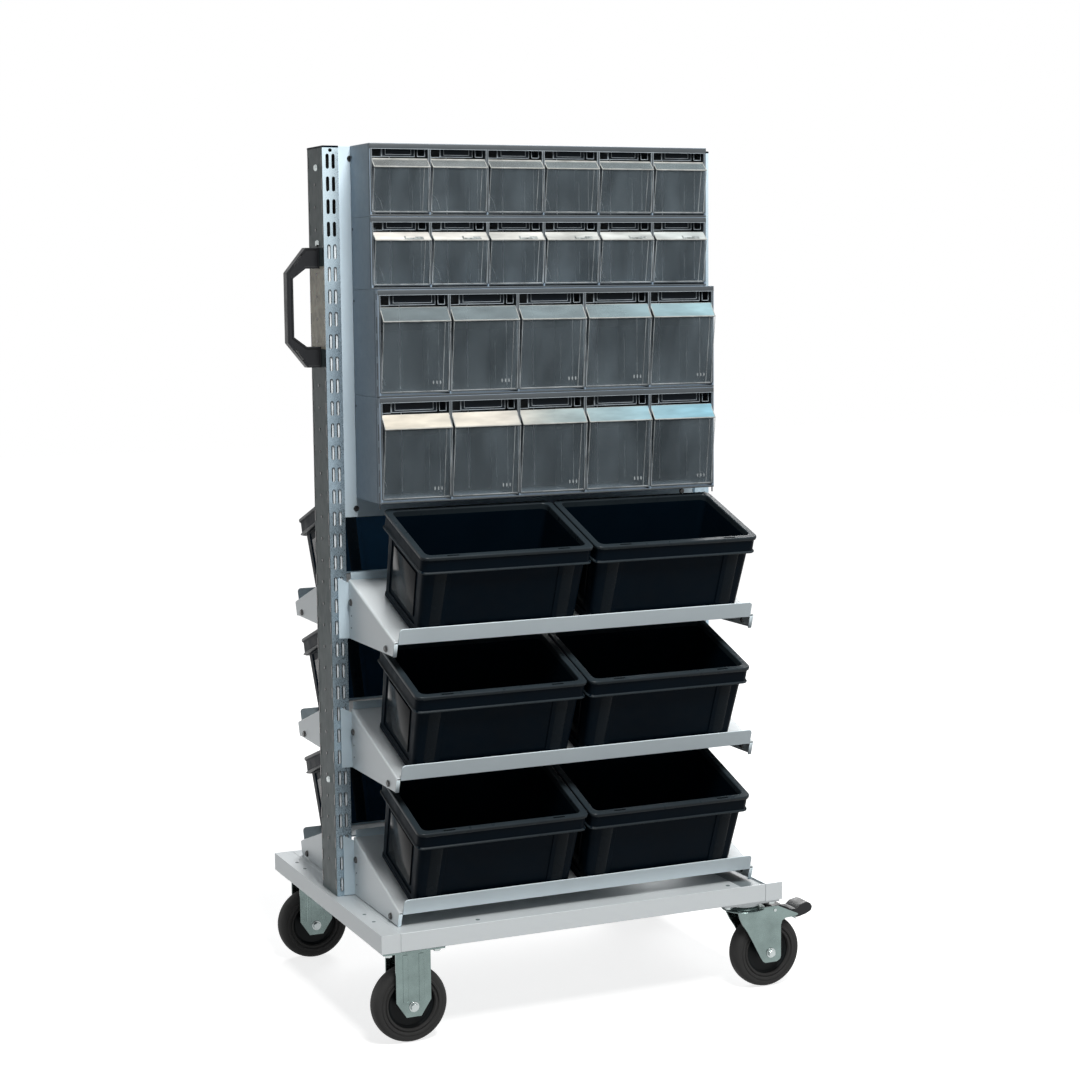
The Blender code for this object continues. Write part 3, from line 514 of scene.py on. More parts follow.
def edges_of(corners):
    return {line for corner in corners for line in corner.link_edges}


def add_block(shape, low, high, edge=0.0):
    low, high = Vector(low), Vector(high)
    place = Matrix.Translation((low + high) / 2) @ Matrix.Diagonal((*(high - low), 1))
    corners = bmesh.ops.create_cube(shape, size=1, matrix=place)["verts"]
    if edge:
        round_off(shape, list(edges_of(corners)), edge)
    return shape


def add_slab(shape, x, half, depths, heights, edge=0.0):
    """A block that reaches as far to both sides of x, between two depths and two heights."""
    return add_block(shape, (x - half, depths[0], heights[0]), (x + half, depths[1], heights[1]), edge)


def add_plate(shape, outline, low, high, axis):
    """A flat outline given thickness. Its coordinates are (Y, Z) along X, or (X, Z) along Y."""
    points = [(low, first, up) if axis == "X" else (first, low, up) for first, up in outline]
    face = bmesh.ops.contextual_create(shape, geom=ring(shape, points)[1])["faces"][0]
    grown = bmesh.ops.extrude_face_region(shape, geom=[face])["geom"]
    far = [item for item in grown if isinstance(item, bmesh.types.BMVert)]
    along = Vector((1, 0, 0) if axis == "X" else (0, 1, 0))
    bmesh.ops.translate(shape, verts=far, vec=along * (high - low))
    return shape


def add_rod(shape, centre, radius, length, axis="Z", steps=24, edge=0.0):
    turns = {"X": Matrix.Rotation(math.pi / 2, 4, "Y"), "Y": Matrix.Rotation(math.pi / 2, 4, "X")}
    made = bmesh.ops.create_cone(
        shape,
        cap_ends=True,
        segments=steps,
        radius1=radius,
        radius2=radius,
        depth=length,
        matrix=Matrix.Translation(centre) @ turns.get(axis, Matrix()),
    )["verts"]
    if edge:
        rims = [
            line for line in edges_of(made) if any(len(face.verts) == steps for face in line.link_faces)
        ]
        round_off(shape, rims, edge)
    return shape


def add_turned(shape, profile, centre, axis, steps):
    """A closed (radius, along) profile spun once round the Y or Z axis through a centre."""
    centre = Vector(centre)
    along_y = axis == "Y"
    points = [
        centre + Vector((radius, along, 0) if along_y else (radius, 0, along)) for radius, along in profile
    ]
    corners, lines = ring(shape, points)
    bmesh.ops.spin(
        shape,
        geom=corners + lines,
        cent=centre,
        axis=(0, 1, 0) if along_y else (0, 0, 1),
        angle=math.tau,
        steps=steps,
        use_merge=True,
    )
    return shape


def add_button(shape, centre, facing, radius=0.0045, height=0.0028):
    """A button-head screw whose head rises from centre along facing."""
    turn = Vector((0, 0, 1)).rotation_difference(Vector(facing)).to_matrix().to_4x4()
    made = bmesh.ops.create_uvsphere(shape, u_segments=16, v_segments=8, radius=radius)["verts"]
    for vertex in made:
        vertex.co.z = max(vertex.co.z, -radius / 4) * height / radius
    faces = {face for vertex in made for face in vertex.link_faces}
    socket = [face for face in faces if face.calc_center_median().z > 0.9 * height]
    sunk = list({vertex for face in socket for vertex in face.verts})
    bmesh.ops.translate(shape, verts=sunk, vec=(0, 0, -height / 3))
    bmesh.ops.transform(shape, matrix=Matrix.Translation(centre) @ turn, verts=made)
    return shape


def as_mesh(shape, name):
    bmesh.ops.remove_doubles(shape, verts=shape.verts, dist=1e-6)
    bmesh.ops.recalc_face_normals(shape, faces=shape.faces)
    mesh = bpy.data.meshes.new(name)
    shape.to_mesh(mesh)
    shape.free()
    return mesh


def add_piece(name, mesh, look, node, whole=False, edge=0.0, segments=2, place=None, smooth=35):
    """A finished piece that rides on a node's body, and takes the node's place where it is whole."""
    if isinstance(mesh, bmesh.types.BMesh):
        mesh = as_mesh(mesh, name)
    if place is not None:
        mesh = mesh.copy()
        mesh.transform(place)
    mesh.materials.clear()
    mesh.materials.append(surface(look))
    mesh.shade_smooth()
    mesh.set_sharp_from_angle(angle=math.radians(smooth))
    piece = bpy.data.objects.new(name, mesh)
    bpy.context.scene.collection.objects.link(piece)
    if edge:
        rounding = piece.modifiers.new("rounding", "BEVEL")
        rounding.width = edge
        rounding.segments = segments
        rounding.limit_method = "ANGLE"
        rounding.angle_limit = math.radians(30)
        rounding.harden_normals = True
    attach(piece, BODY_OF[node])
    if whole:
        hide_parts(node)
    return piece


def node_shape(node):
    """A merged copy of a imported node's mesh, with its flat faces joined up."""
    shape = bmesh.new()
    shape.from_mesh(frame["nodes"][node].data)
    bmesh.ops.remove_doubles(shape, verts=shape.verts, dist=1e-6)
    bmesh.ops.dissolve_limit(shape, angle_limit=math.radians(1), verts=shape.verts, edges=shape.edges)
    return shape


def cut_out(mesh, cutter, operation="DIFFERENCE"):
    """The mesh less the cutter's closed shapes, or only what lies inside them."""
    body = bpy.data.objects.new("body", mesh)
    tool = bpy.data.objects.new("tool", cutter)
    for each in (body, tool):
        bpy.context.scene.collection.objects.link(each)
    cut = body.modifiers.new("cut", "BOOLEAN")
    cut.operation = operation
    cut.solver = "EXACT"
    cut.object = tool
    bpy.context.view_layer.update()
    graph = bpy.context.evaluated_depsgraph_get()
    result = bpy.data.meshes.new_from_object(body.evaluated_get(graph))
    for each in (body, tool):
        bpy.data.objects.remove(each, do_unlink=True)
    return result


def curve_points(centre, radius, start, end, steps):
    """Points on part of a circle, by angle in degrees."""
    angles = [math.radians(start + (end - start) * step / steps) for step in range(steps + 1)]
    return [(centre[0] + radius * math.cos(a), centre[1] + radius * math.sin(a)) for a in angles]


def mirrored(points):
    """The same line on the other side of X = 0, drawn backwards."""
    return [(-x, z) for x, z in reversed(points)]


def slot_outline(x, z_top, width, height):
    """A slot with rounded ends, as (X, Z) points."""
    half = width / 2
    upper = curve_points((x, z_top - half), half, 0, 180, 4)
    return upper + curve_points((x, z_top - height + half), half, 180, 360, 4)


def slot_top(row):
    return TOP - SLOT_START - row * SLOT_PITCH


def slot_middle(row):
    return slot_top(row) - SLOT_HEIGHT / 2


def slotted_tube(low, high, columns):
    """A hollow upright, with its slots and its cross hole cut through."""
    wall = UPRIGHT_WALL
    tube = add_block(bmesh.new(), low, (high.x, high.y, TOP - CAP_SHEET))
    hollow = bmesh.new()
    add_block(hollow, (low.x + wall, low.y + wall, low.z - SHEET), (high.x - wall, high.y - wall, TOP))
    slots = bmesh.new()
    for row in range(SLOT_ROWS):
        for x in columns:
            outline = slot_outline(x, slot_top(row), SLOT_WIDTH, SLOT_HEIGHT)
            add_plate(slots, outline, low.y - SHEET, high.y + SHEET, "Y")
    hole = ((low.x + high.x) / 2, 0, TOP - CROSS_HOLE_DROP)
    add_rod(slots, hole, CROSS_HOLE_RADIUS, high.y - low.y + 2 * SHEET, "Y", 16)
    hollow_tube = cut_out(as_mesh(tube, "tube"), as_mesh(hollow, "hollow"))
    return cut_out(hollow_tube, as_mesh(slots, "slots"))


def colour_tube(piece, low, high, outer):
    """Painted shade: a dull, darker copy of the zinc on the upright's outer side, and near-black inside the
    tube.
    """
    piece.data.materials.append(surface("dull_zinc"))
    piece.data.materials.append(surface("dark_inside"))
    inset = UPRIGHT_WALL / 2
    for face in piece.data.polygons:
        x, y = face.center.x, face.center.y
        inside = low.x + inset < x < high.x - inset and low.y + inset / 2 < y < high.y - inset / 2
        if abs(x - outer) < CLEAR and abs(face.normal.x) > 0.9:
            face.material_index = 1
        elif inside:
            face.material_index = 2


def inner_flanges(low, high, columns):
    """Thin pale strips behind the slots of both faces, for the folded flanges inside the tube, in painted
    light where they show through the slots.
    """
    flanges = bmesh.new()
    for x in columns:
        for y, facing in ((low.y, 1), (high.y, -1)):
            depths = sorted(y + facing * (UPRIGHT_WALL + gap) for gap in (0.0002, 0.0007))
            add_block(
                flanges,
                (x - 0.0004, depths[0], low.z + 0.002),
                (x + SLOT_WIDTH / 2 + 0.0003, depths[1], TOP - INNER_FLANGE_DROP),
            )
    return flanges


def upright_mark_shades(low, high, outer):
    """The punched dots and notches on the upright's outer side, drawn black as painted shade."""
    marks = bmesh.new()
    for row in range(1, SLOT_ROWS - 1):
        add_rod(marks, (outer, 0.002, slot_middle(row)), 0.0025, 0.0012, "X", 10)
    for row in range(SLOT_ROWS):
        heights = (slot_middle(row) - NOTCH_HALF, slot_middle(row) + NOTCH_HALF)
        for y in (low.y + 0.0035, high.y - 0.0035):
            add_slab(marks, outer, 0.0005, (y - 0.0020, y + 0.0020), heights)
    return marks


def build_uprights():
    for word, side in (("left", -1), ("right", 1)):
        node = f"upright_{word}"
        low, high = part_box(node)
        outer = low.x if side < 0 else high.x
        middle = (low.x + high.x) / 2
        columns = [middle + column * SLOT_SPACING / 2 for column in (-1, 1)]
        tube = slotted_tube(low, high, columns)
        piece = add_piece(f"slotted_{node}", tube, "zinc_plate", node, whole=True, edge=0.0003)
        colour_tube(piece, low, high, outer)
        flanges = inner_flanges(low, high, columns)
        add_piece(f"inner_flanges_{word}", flanges, "inner_flange_zinc", node)
        cap = add_block(bmesh.new(), (low.x, low.y, TOP - CAP_SHEET), (high.x, high.y, TOP), edge=0.0008)
        add_block(
            cap,
            (low.x - CLEAR, low.y - CLEAR, TOP - 0.0032),
            (high.x + CLEAR, high.y + CLEAR, TOP - 0.0004),
        )
        add_piece(f"end_cap_{word}", cap, "black_container_plastic", node)
        # Painted reflection: a thin pale patch on the left upright's outer side, between the handle's roots
        if side < 0:
            grip_low, grip_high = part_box("push_handle")
            heights = (grip_low.z + REFLECTION_PATCH_INSET, grip_high.z - REFLECTION_PATCH_INSET)
            plate = add_slab(bmesh.new(), outer, CLEAR, (low.y + 0.0012, high.y - 0.0012), heights)
            add_piece("handle_plate", plate, "pale_zinc_plate", node)
        screws = bmesh.new()
        for drop in UPRIGHT_SCREW_DROPS:
            add_button(screws, (outer, -0.006, TOP - drop), (side, 0, 0), **BIG_SCREW)
        add_piece(f"upright_screws_{word}", screws, "bright_screw", node)
        add_piece(f"upright_marks_{word}", upright_mark_shades(low, high, outer), "black_screw", node)


def inset_sides(shape, corners, thickness, depth):
    """Insets the faces that have as many corners as the outline they came from."""
    for face in [face for face in shape.faces if len(face.verts) == corners]:
        bmesh.ops.inset_region(
            shape, faces=[face], thickness=thickness, depth=depth, use_even_offset=True, use_boundary=True
        )


def build_handle():
    low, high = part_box("push_handle")
    root, tip = high.x, low.x
    half = (high.z - low.z) / 2
    middle = (high.z + low.z) / 2
    outer = [(0, half), (HANDLE_ARM, half), (root - tip, 0.0565)]
    inner = [(0, 0.063), (HANDLE_ARM, 0.063), (0.0450, 0.047)]
    loop = outer + [(reach, -rise) for reach, rise in reversed(outer)]
    loop += [(reach, -rise) for reach, rise in inner] + inner[::-1]
    outline = [(root - reach, middle + rise) for reach, rise in loop]
    shape = add_plate(bmesh.new(), outline, low.y + 0.0015, high.y - 0.0015, "Y")
    inset_sides(shape, len(outline), 0.0028, 0.0)
    inset_sides(shape, len(outline), 0.0006, 0.0015)
    slots = bmesh.new()
    for sign in (-1, 1):
        start, end = (Vector((root - x, 0, middle + sign * z)) for x, z in GRIP_SLOT)
        along = (end - start).normalized()
        across = Vector((along.z, 0, -along.x)) * GRIP_SLOT_HALF
        corners = [start + across, end + across, end - across, start - across]
        add_plate(slots, [(c.x, c.z) for c in corners], low.y - SHEET, high.y + SHEET, "Y")
    mesh = cut_out(as_mesh(shape, "handle"), as_mesh(slots, "grip_slots"))
    add_piece(
        "push_handle_loop",
        mesh,
        "black_handle_plastic",
        "push_handle",
        whole=True,
        edge=0.0012,
        segments=3,
    )


def build_panel():
    node = "back_panel"
    low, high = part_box(node)
    add_piece(
        "back_panel_sheet",
        node_shape(node),
        "panel_paint",
        node,
        whole=True,
        edge=sizes().sheet_edge,
    )
    screws = bmesh.new()
    for x in (low.x + 0.022, high.x - 0.022):
        for z in (low.z + 0.014, high.z - 0.02):
            add_button(screws, (x, low.y, z), (0, -1, 0), radius=0.0048, height=0.003)
    add_piece("panel_screws", screws, "black_screw", node)


def cell_pitch(unit):
    return (UNIT_WIDTH - 2 * HOUSING_WALL + DIVIDER) / UNIT_BINS[unit]


def half_cell(unit):
    return (cell_pitch(unit) - DIVIDER) / 2


def cell_middles(unit):
    bins = UNIT_BINS[unit]
    return [MIDDLE_X_OF_RACK + (place - (bins - 1) / 2) * cell_pitch(unit) for place in range(bins)]


def add_outline(shape, low, high, front, line, open_top=False):
    """A thin raised outline of a rectangle given by its (X, Z) corners."""
    (low_x, low_z), (high_x, high_z) = low, high
    strips = [
        (low, (low_x + line, high_z)),
        ((high_x - line, low_z), high),
        (low, (high_x, low_z + line)),
        ((low_x, high_z - line), high),
    ]
    for (x, z), (far_x, far_z) in strips[:3] if open_top else strips:
        add_block(shape, (x, front, z), (far_x, front + 0.0008, far_z), edge=line / 5)


def housing_front(unit, low, high):
    """The frame round the cells, and painted highlights as thin bright lines along its edges."""
    front = low.y
    rails = bmesh.new()
    lines = bmesh.new()
    for bottom, top in ((high.z - 0.0088, high.z - 0.0006), (low.z + CLEAR, low.z + HOUSING_WALL)):
        add_block(rails, (low.x, front - 0.0004, bottom), (high.x, front + 0.0014, top), edge=0.0006)
    highlight_z = high.z - 0.0090
    add_block(lines, (low.x + 0.002, front - 0.0008, highlight_z), (high.x - 0.002, front, highlight_z + 0.0007))
    depths = (front - 0.0004, front + 0.0018)
    highlight_depths = (front - 0.0006, front + 0.0010)
    for middle in cell_middles(unit):
        for side in (-1, 1):
            wall_x = middle + side * (half_cell(unit) + DIVIDER / 4)
            add_slab(rails, wall_x, 0.0012, depths, (low.z + 0.007, high.z - 0.008), edge=0.0005)
            highlight_x = middle + side * (half_cell(unit) - 0.0007)
            add_slab(lines, highlight_x, 0.00025, highlight_depths, (low.z + 0.008, high.z - 0.009))
    return rails, lines


def cell_insides(unit, low, high):
    """Painted shade as a dark lining of the cells, and painted highlights as pale ribs and arcs seen
    through the clear bins.
    """
    shade_lining = bmesh.new()
    ribs = bmesh.new()
    back = high.y - 0.002
    ceiling, floor = high.z - HOUSING_WALL, low.z + HOUSING_WALL
    heights = (floor + CLEAR, ceiling - CLEAR)
    reach = half_cell(unit) * (0.8 if unit < FIRST_LARGE_UNIT else 0.6)
    for middle in cell_middles(unit):
        add_slab(shade_lining, middle, half_cell(unit) - CLEAR, (back - 0.0009, back - 0.0001), heights)
        for side in (-1, 1):
            wall_x = middle + side * (half_cell(unit) - 0.0004)
            add_slab(shade_lining, wall_x, CLEAR, (low.y + 0.004, back - 0.0010), heights)
        for share, width in ((-0.28, 0.0050), (0.30, 0.0018)):
            rib_x = middle + share * half_cell(unit)
            depths = (back - 0.0016, back - 0.0008)
            add_slab(ribs, rib_x, width / 2, depths, (floor + 0.004, ceiling - 0.012), edge=0.0002)
        heart = (middle - 0.75 * half_cell(unit), floor + 0.2 * reach)
        arc = curve_points(heart, reach, 5, 75, 14) + curve_points(heart, reach - 0.0012, 75, 5, 14)
        add_plate(ribs, arc, back - 0.0014, back - 0.0009, "Y")
    return shade_lining, ribs


def stop_tabs(unit, low, high):
    """The stop tab at the top of each cell, with painted highlights as outlines on it and beside it."""
    plates = bmesh.new()
    highlight_outlines = bmesh.new()
    ceiling = high.z - HOUSING_WALL
    half_tab = TAB_WIDTHS[unit] / 2
    tab_low = ceiling - TAB_HEIGHTS[unit]
    tab_front = low.y + TAB_SETBACK
    beside = tab_front - 0.0034
    for middle in cell_middles(unit):
        depths = (tab_front - 0.0002, tab_front + 0.0016)
        add_slab(plates, middle, half_tab, depths, (tab_low, ceiling), edge=0.0006)
        for step in (0.0, TAB_STEP):
            left = (middle - half_tab + step, tab_low + step * 0.55)
            right = (middle + half_tab - step, ceiling - 0.0004)
            add_outline(highlight_outlines, left, right, tab_front - 0.0008, 0.0011, open_top=True)
        left = (middle - half_cell(unit) + 0.0012, tab_low - 0.0005)
        add_outline(highlight_outlines, left, (middle - half_tab - 0.0012, ceiling - 0.0006), beside, 0.0008)
        left = (middle + half_tab + 0.0030, tab_low + 0.0005)
        right = (middle + half_cell(unit) - 0.0040, ceiling - 0.0010)
        add_outline(highlight_outlines, left, right, beside, 0.0009)
    return plates, highlight_outlines


def housing_sides(unit, low, high):
    """The groove, dimple and slots on a housing's two sides, drawn dark as painted shade, and the strip
    along the large ones.
    """
    groove_shades = bmesh.new()
    strips = bmesh.new()
    front = low.y
    groove_y = front + (0.0045 if unit < FIRST_LARGE_UNIT else 0.016)
    for x in (low.x, high.x):
        add_slab(groove_shades, x, 0.0002, (groove_y - 0.0006, groove_y + 0.0006), (low.z + 0.002, high.z - 0.002))
        add_rod(groove_shades, (x, high.y - 0.006, high.z - 0.018), 0.0022, 0.0008, "X", 12)
        if unit < FIRST_LARGE_UNIT:
            continue
        heights = (low.z + 0.001, high.z - 0.001)
        add_slab(strips, x, CLEAR, (front + 0.0006, front + 0.0125), heights, edge=0.0001)
        for step in range(5):
            slot_z = high.z - 0.006 - step * 0.0365
            heights = (slot_z - (0.026 if step else 0.010), slot_z)
            add_slab(groove_shades, x, 0.0005, (front + 0.0050, front + 0.0082), heights, edge=0.0002)
    return groove_shades, strips


def build_housings():
    for unit in range(len(UNIT_BINS)):
        node = f"bin_housing_{unit + 1}"
        low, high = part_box(node)
        add_piece(
            f"housing_{unit + 1}",
            node_shape(node),
            "slate_grey_plastic",
            node,
            whole=True,
            edge=0.0005,
        )
        rails, lines = housing_front(unit, low, high)
        shade_lining, ribs = cell_insides(unit, low, high)
        plates, highlight_outlines = stop_tabs(unit, low, high)
        groove_shades, strips = housing_sides(unit, low, high)
        for name, shape, look in (
            ("housing_frame", rails, "frame_grey_plastic"),
            ("housing_edges", lines, "frame_edge_plastic"),
            ("housing_lining", shade_lining, "dark_cell_plastic"),
            ("housing_ribs", ribs, "pale_cell_rib"),
            ("housing_tabs", plates, "tab_grey_plastic"),
            ("tab_outlines", highlight_outlines, "frame_edge_plastic"),
            ("housing_seams", groove_shades, "dark_cell_plastic"),
            ("housing_strips", strips, "slate_strip"),
        ):
            if shape.verts:
                add_piece(f"{name}_{unit + 1}", shape, look, node)


def bin_profile(unit):
    """The corners of a tilt bin's side as (Y, Z) from its hinge, its height and its depth."""
    rise = UNIT_HEIGHTS[unit] - CREST_DROPS[unit] - HOUSING_WALL - HINGE_INSET
    depth = UNIT_DEPTHS[unit] - HINGE_INSET - BIN_REAR_GAP
    brow = (BIN_FOOT[0] - LIP_REACHES[unit], rise - LIP_RISES[unit])
    crest = (BIN_CREST_Y, rise)
    return BIN_FOOT, brow, crest, rise, depth


def round_the_hinge(radius, start, end):
    """(Y, Z) points about the hinge, by angle in degrees from straight up towards the rear."""
    return [(z, y) for y, z in curve_points((0, 0), radius, start, end, 8)]


def strip_between(low, high, low_depths, high_depths):
    """A thin sloping strip from one (Y, Z) point up to another."""
    front_low, back_low = low_depths
    front_high, back_high = high_depths
    return [
        (low[0] + front_low, low[1]),
        (high[0] + front_high, high[1]),
        (high[0] + back_high, high[1]),
        (low[0] + back_low, low[1]),
    ]


def bin_shell(unit, half):
    """The clear body of one bin, from its hinge."""
    wall = sizes().bin_wall
    foot, brow, crest, rise, depth = bin_profile(unit)
    body = bmesh.new()
    add_plate(body, [foot, brow, crest, *round_the_hinge(depth, 15, 92)], -half, half, "X")
    inner = depth - wall
    lean = math.radians(30)
    inside = [
        (foot[0] + wall, foot[1] + wall),
        (brow[0] + wall, brow[1]),
        (crest[0] + wall, crest[1] - 0.0006),
        (crest[0] + wall, rise + wall),
        (2 * inner * math.sin(lean), 2 * inner * math.cos(lean)),
        *round_the_hinge(inner, 30, 87),
    ]
    cutter = add_plate(bmesh.new(), inside, -half + wall, half - wall, "X")
    return cut_out(as_mesh(body, "bin"), as_mesh(cutter, "inside"))


def bin_edges(unit, half, brow, crest):
    """Painted highlights on the edges of the lip: two rods along it and a strip at each end."""
    edges = bmesh.new()
    for point, radius in ((brow, 0.0012), (crest, 0.0020 if unit == 0 else 0.0010)):
        add_rod(edges, (0, point[0] + 0.0004, point[1]), radius, 2 * half, "X", 10)
    for side in (-1, 1):
        x = side * (half - 0.0007)
        outline = strip_between(brow, crest, (-0.0009, 0.0004), (-0.0009, 0.0004))
        add_plate(edges, outline, x - 0.0007, x + 0.0007, "X")
    return edges


def bin_ribs(unit, half, foot, brow, rise, depth):
    """The bottom bead, the upright ribs of the front and the right side, and the oval marks: moulded
    shapes, paler and less clear than the bin as painted highlights.
    """
    wall = sizes().bin_wall
    ribs = bmesh.new()
    add_rod(ribs, (0, foot[0] + 0.0004, foot[1] + 0.0026), 0.0011, 2 * half - 0.004, "X", 10)
    low, high = (foot[0], foot[1] + 0.001), (brow[0], brow[1] - 0.002)
    outline = strip_between(low, high, (-0.0005, 0.0006), (-0.0005, 0.0006))
    for x, width in ((-half + 0.0006, 0.0009), (half - 0.0006, 0.0009), (half - 0.0105, 0.0007)):
        add_plate(ribs, outline, x - width / 2, x + width / 2, "X")
    for reach, top_share in ((0.30, 0.86), (0.74, 0.62)):
        y = reach * depth
        add_block(
            ribs,
            (half - wall - 0.0007, y - 0.0008, 0.003),
            (half - wall + 0.0001, y + 0.0008, rise * top_share),
            edge=0.0002,
        )
    if unit < FIRST_LARGE_UNIT:
        return ribs
    mark_z = foot[1] + MARK_RISE
    for step in range(3):
        x = half - 0.0265 + step * MARK_SPACING
        mark = add_rod(bmesh.new(), (x, foot[0] - 0.0007, mark_z), 0.0012, 0.0008, "Y", 12)
        for vertex in mark.verts:
            vertex.co.z = mark_z + (vertex.co.z - mark_z) * MARK_STRETCH
        ribs.from_mesh(as_mesh(mark, "mark"))
    return ribs


def lip_streaks(unit, half, brow, crest):
    """Grey streaks on the lips of one row, where a reflection breaks up."""
    streaks = bmesh.new()
    if unit != SHADED_LIP_UNIT:
        return streaks
    start, reach = 0.12, 0.58
    for first, last, share in ((0.06, 0.12, 0.75), (0.14, 0.50, 0.35), (0.46, 0.74, 0.60)):
        slope = [
            (brow[0] + (crest[0] - brow[0]) * at - 0.0012, brow[1] + (crest[1] - brow[1]) * at)
            for at in (start, start + share * reach)
        ]
        deeper = [(y + 0.0004, z) for y, z in reversed(slope)]
        add_plate(streaks, slope + deeper, first * half, last * half, "X")
    return streaks


def tilt_bin_details(unit, half):
    """The lip, edges, ribs, foot strip and lip streaks of one bin, from its hinge, with their looks."""
    foot, brow, crest, rise, depth = bin_profile(unit)
    lip_outline = [
        (brow[0] - 0.0006, brow[1] - 0.0005),
        (crest[0] - 0.0006, crest[1] + 0.0006),
        (crest[0] + 0.0002, crest[1] + 0.0006),
        (brow[0] + 0.0004, brow[1] + 0.0004),
    ]
    strip_top = max(0.0075 - HOUSING_WALL - HINGE_INSET, foot[1] + 0.0034)
    strip_back = foot[0] + sizes().bin_wall * 0.8
    strip = bmesh.new()
    add_block(
        strip,
        (-half + 0.0002, foot[0] - 0.0002, foot[1] + 0.0004),
        (half - 0.0002, strip_back, strip_top),
        edge=0.0003,
    )
    shapes = (
        ("bin_lip", add_plate(bmesh.new(), lip_outline, -half, half, "X"), f"plastic_lip_{unit + 1}"),
        ("bin_edges", bin_edges(unit, half, brow, crest), "clear_plastic_edge"),
        ("bin_ribs", bin_ribs(unit, half, foot, brow, rise, depth), "clear_plastic_ribs"),
        ("bin_foot", strip, "frame_grey_plastic"),
        ("lip_shade", lip_streaks(unit, half, brow, crest), "lip_reflection"),
    )
    return [(name, as_mesh(shape, name), look) for name, shape, look in shapes]


def build_tilt_bins():
    for unit, bins in enumerate(UNIT_BINS):
        low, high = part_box(f"tilt_bin_{unit + 1}_1")
        half = (high.x - low.x) / 2 - BIN_SIDE_GAP
        shell = bin_shell(unit, half)
        details = tilt_bin_details(unit, half)
        for number in range(1, bins + 1):
            tag = f"{unit + 1}_{number}"
            node = f"tilt_bin_{tag}"
            place = Matrix.Translation(JOINT_AT[BODY_OF[node]])
            add_piece(
                f"clear_bin_{tag}",
                shell,
                "clear_smoky_plastic",
                node,
                whole=True,
                edge=0.0004,
                place=place,
            )
            for name, mesh, look in details:
                if len(mesh.vertices):
                    add_piece(f"{name}_{tag}", mesh, look, node, place=place)


def tray_point(along, above):
    """(Y, Z) on the top front tray, from the foot of its lip."""
    lean, rise = math.sin(TRAY_TILT), math.cos(TRAY_TILT)
    inner = TRAY_LIP - SHEET
    lip_y = -LIP_Y + SHEET * rise + inner * lean
    lip_z = LIP_Z + SHEET * lean - inner * rise
    return (lip_y + along * rise - above * lean, lip_z + along * lean + above * rise)


def bent_sheet(half, drop, bend, length):
    """A sheet along +Y with its two sides bent down round a radius."""
    outline = []
    for inset in (0, SHEET):
        left = [(-half + inset, -drop), *curve_points((-half + bend, -bend), bend - inset, 180, 90, 4)]
        arch = left + mirrored(left)
        outline += reversed(arch) if inset else arch
    return add_plate(bmesh.new(), outline, -0.02, length, "Y")


def tray_sheet(on_slope, bottom, rear_z):
    """The tray and its two brackets as one bent sheet, cut to the brackets' side outline."""
    folded = bent_sheet(SHELF_HALF, 0.13, TRAY_BEND, 0.27)
    bmesh.ops.transform(folded, matrix=on_slope, verts=folded.verts)
    corner = 0.006
    bottom_corner = curve_points((corner - 0.001, corner - BRACKET_DROP), corner, 180, 270, 4)
    outline = [
        (BRACKET_REAR, bottom),
        (BRACKET_REAR, rear_z + 0.02),
        tray_point(-0.001, 0.02),
        *[tray_point(along, above) for along, above in bottom_corner],
    ]
    silhouette = add_plate(bmesh.new(), outline, -0.4, 0.4, "X")
    return cut_out(as_mesh(folded, "sheet"), as_mesh(silhouette, "side_outline"), "INTERSECT")


def tray_lip(on_slope):
    """The front lip with round top corners, and the brackets' returns below its two ends."""
    lip = bmesh.new()
    half_lip = SHELF_HALF - 0.007
    lip_top, lip_bottom = TRAY_LIP - SHEET, -SHEET - TRAY_HEM
    right = curve_points((half_lip - LIP_CORNER, lip_top - LIP_CORNER), LIP_CORNER, 0, 90, 4)
    outline = [(-half_lip, lip_bottom), (half_lip, lip_bottom), *right, *mirrored(right)]
    add_plate(lip, outline, -SHEET, 0, "Y")
    for side in (-1, 1):
        near, far = sorted((side * (SHELF_HALF - CLEAR), side * (SHELF_HALF - RETURN_WIDTH)))
        add_block(
            lip, (near, -0.0018, 0.0008 - BRACKET_DROP), (far, 0.0002, lip_bottom + 0.0008), edge=0.0006
        )
    bmesh.ops.transform(lip, matrix=on_slope, verts=lip.verts)
    return lip


def shelf_flanges(facing, top, bottom, rear_z):
    """The tray's rear flange, and the brackets' flanges with the hooks that sit in the slots."""
    low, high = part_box("shelf_front_1")
    flanges = bmesh.new()
    rear = BRACKET_REAR
    add_block(
        flanges,
        (-SHELF_HALF + 0.004, rear - SHEET, rear_z - 0.001),
        (SHELF_HALF - 0.004, rear, rear_z + FLANGE_HEIGHTS[facing]),
        edge=0.0005,
    )
    for side in (-1, 1):
        edge_x, inner = side * (high.x - low.x) / 2, side * (SHELF_HALF - SHEET)
        flange = [
            (edge_x, bottom + 0.0010),
            (edge_x, top - 0.0045),
            (edge_x - side * 0.0030, top - 0.0020),
            (side * (SHELF_HALF + 0.004), top - 0.0085),
            (inner, top - 0.0120),
            (inner, bottom),
        ]
        add_plate(flanges, flange, rear - SHEET, rear, "Y")
        for row in HOOK_ROWS:
            heights = (slot_middle(row) - 0.009, slot_middle(row) + 0.009)
            add_slab(flanges, side * HOOK_X, 0.0015, (rear - 0.001, rear + 0.007), heights)
    return flanges


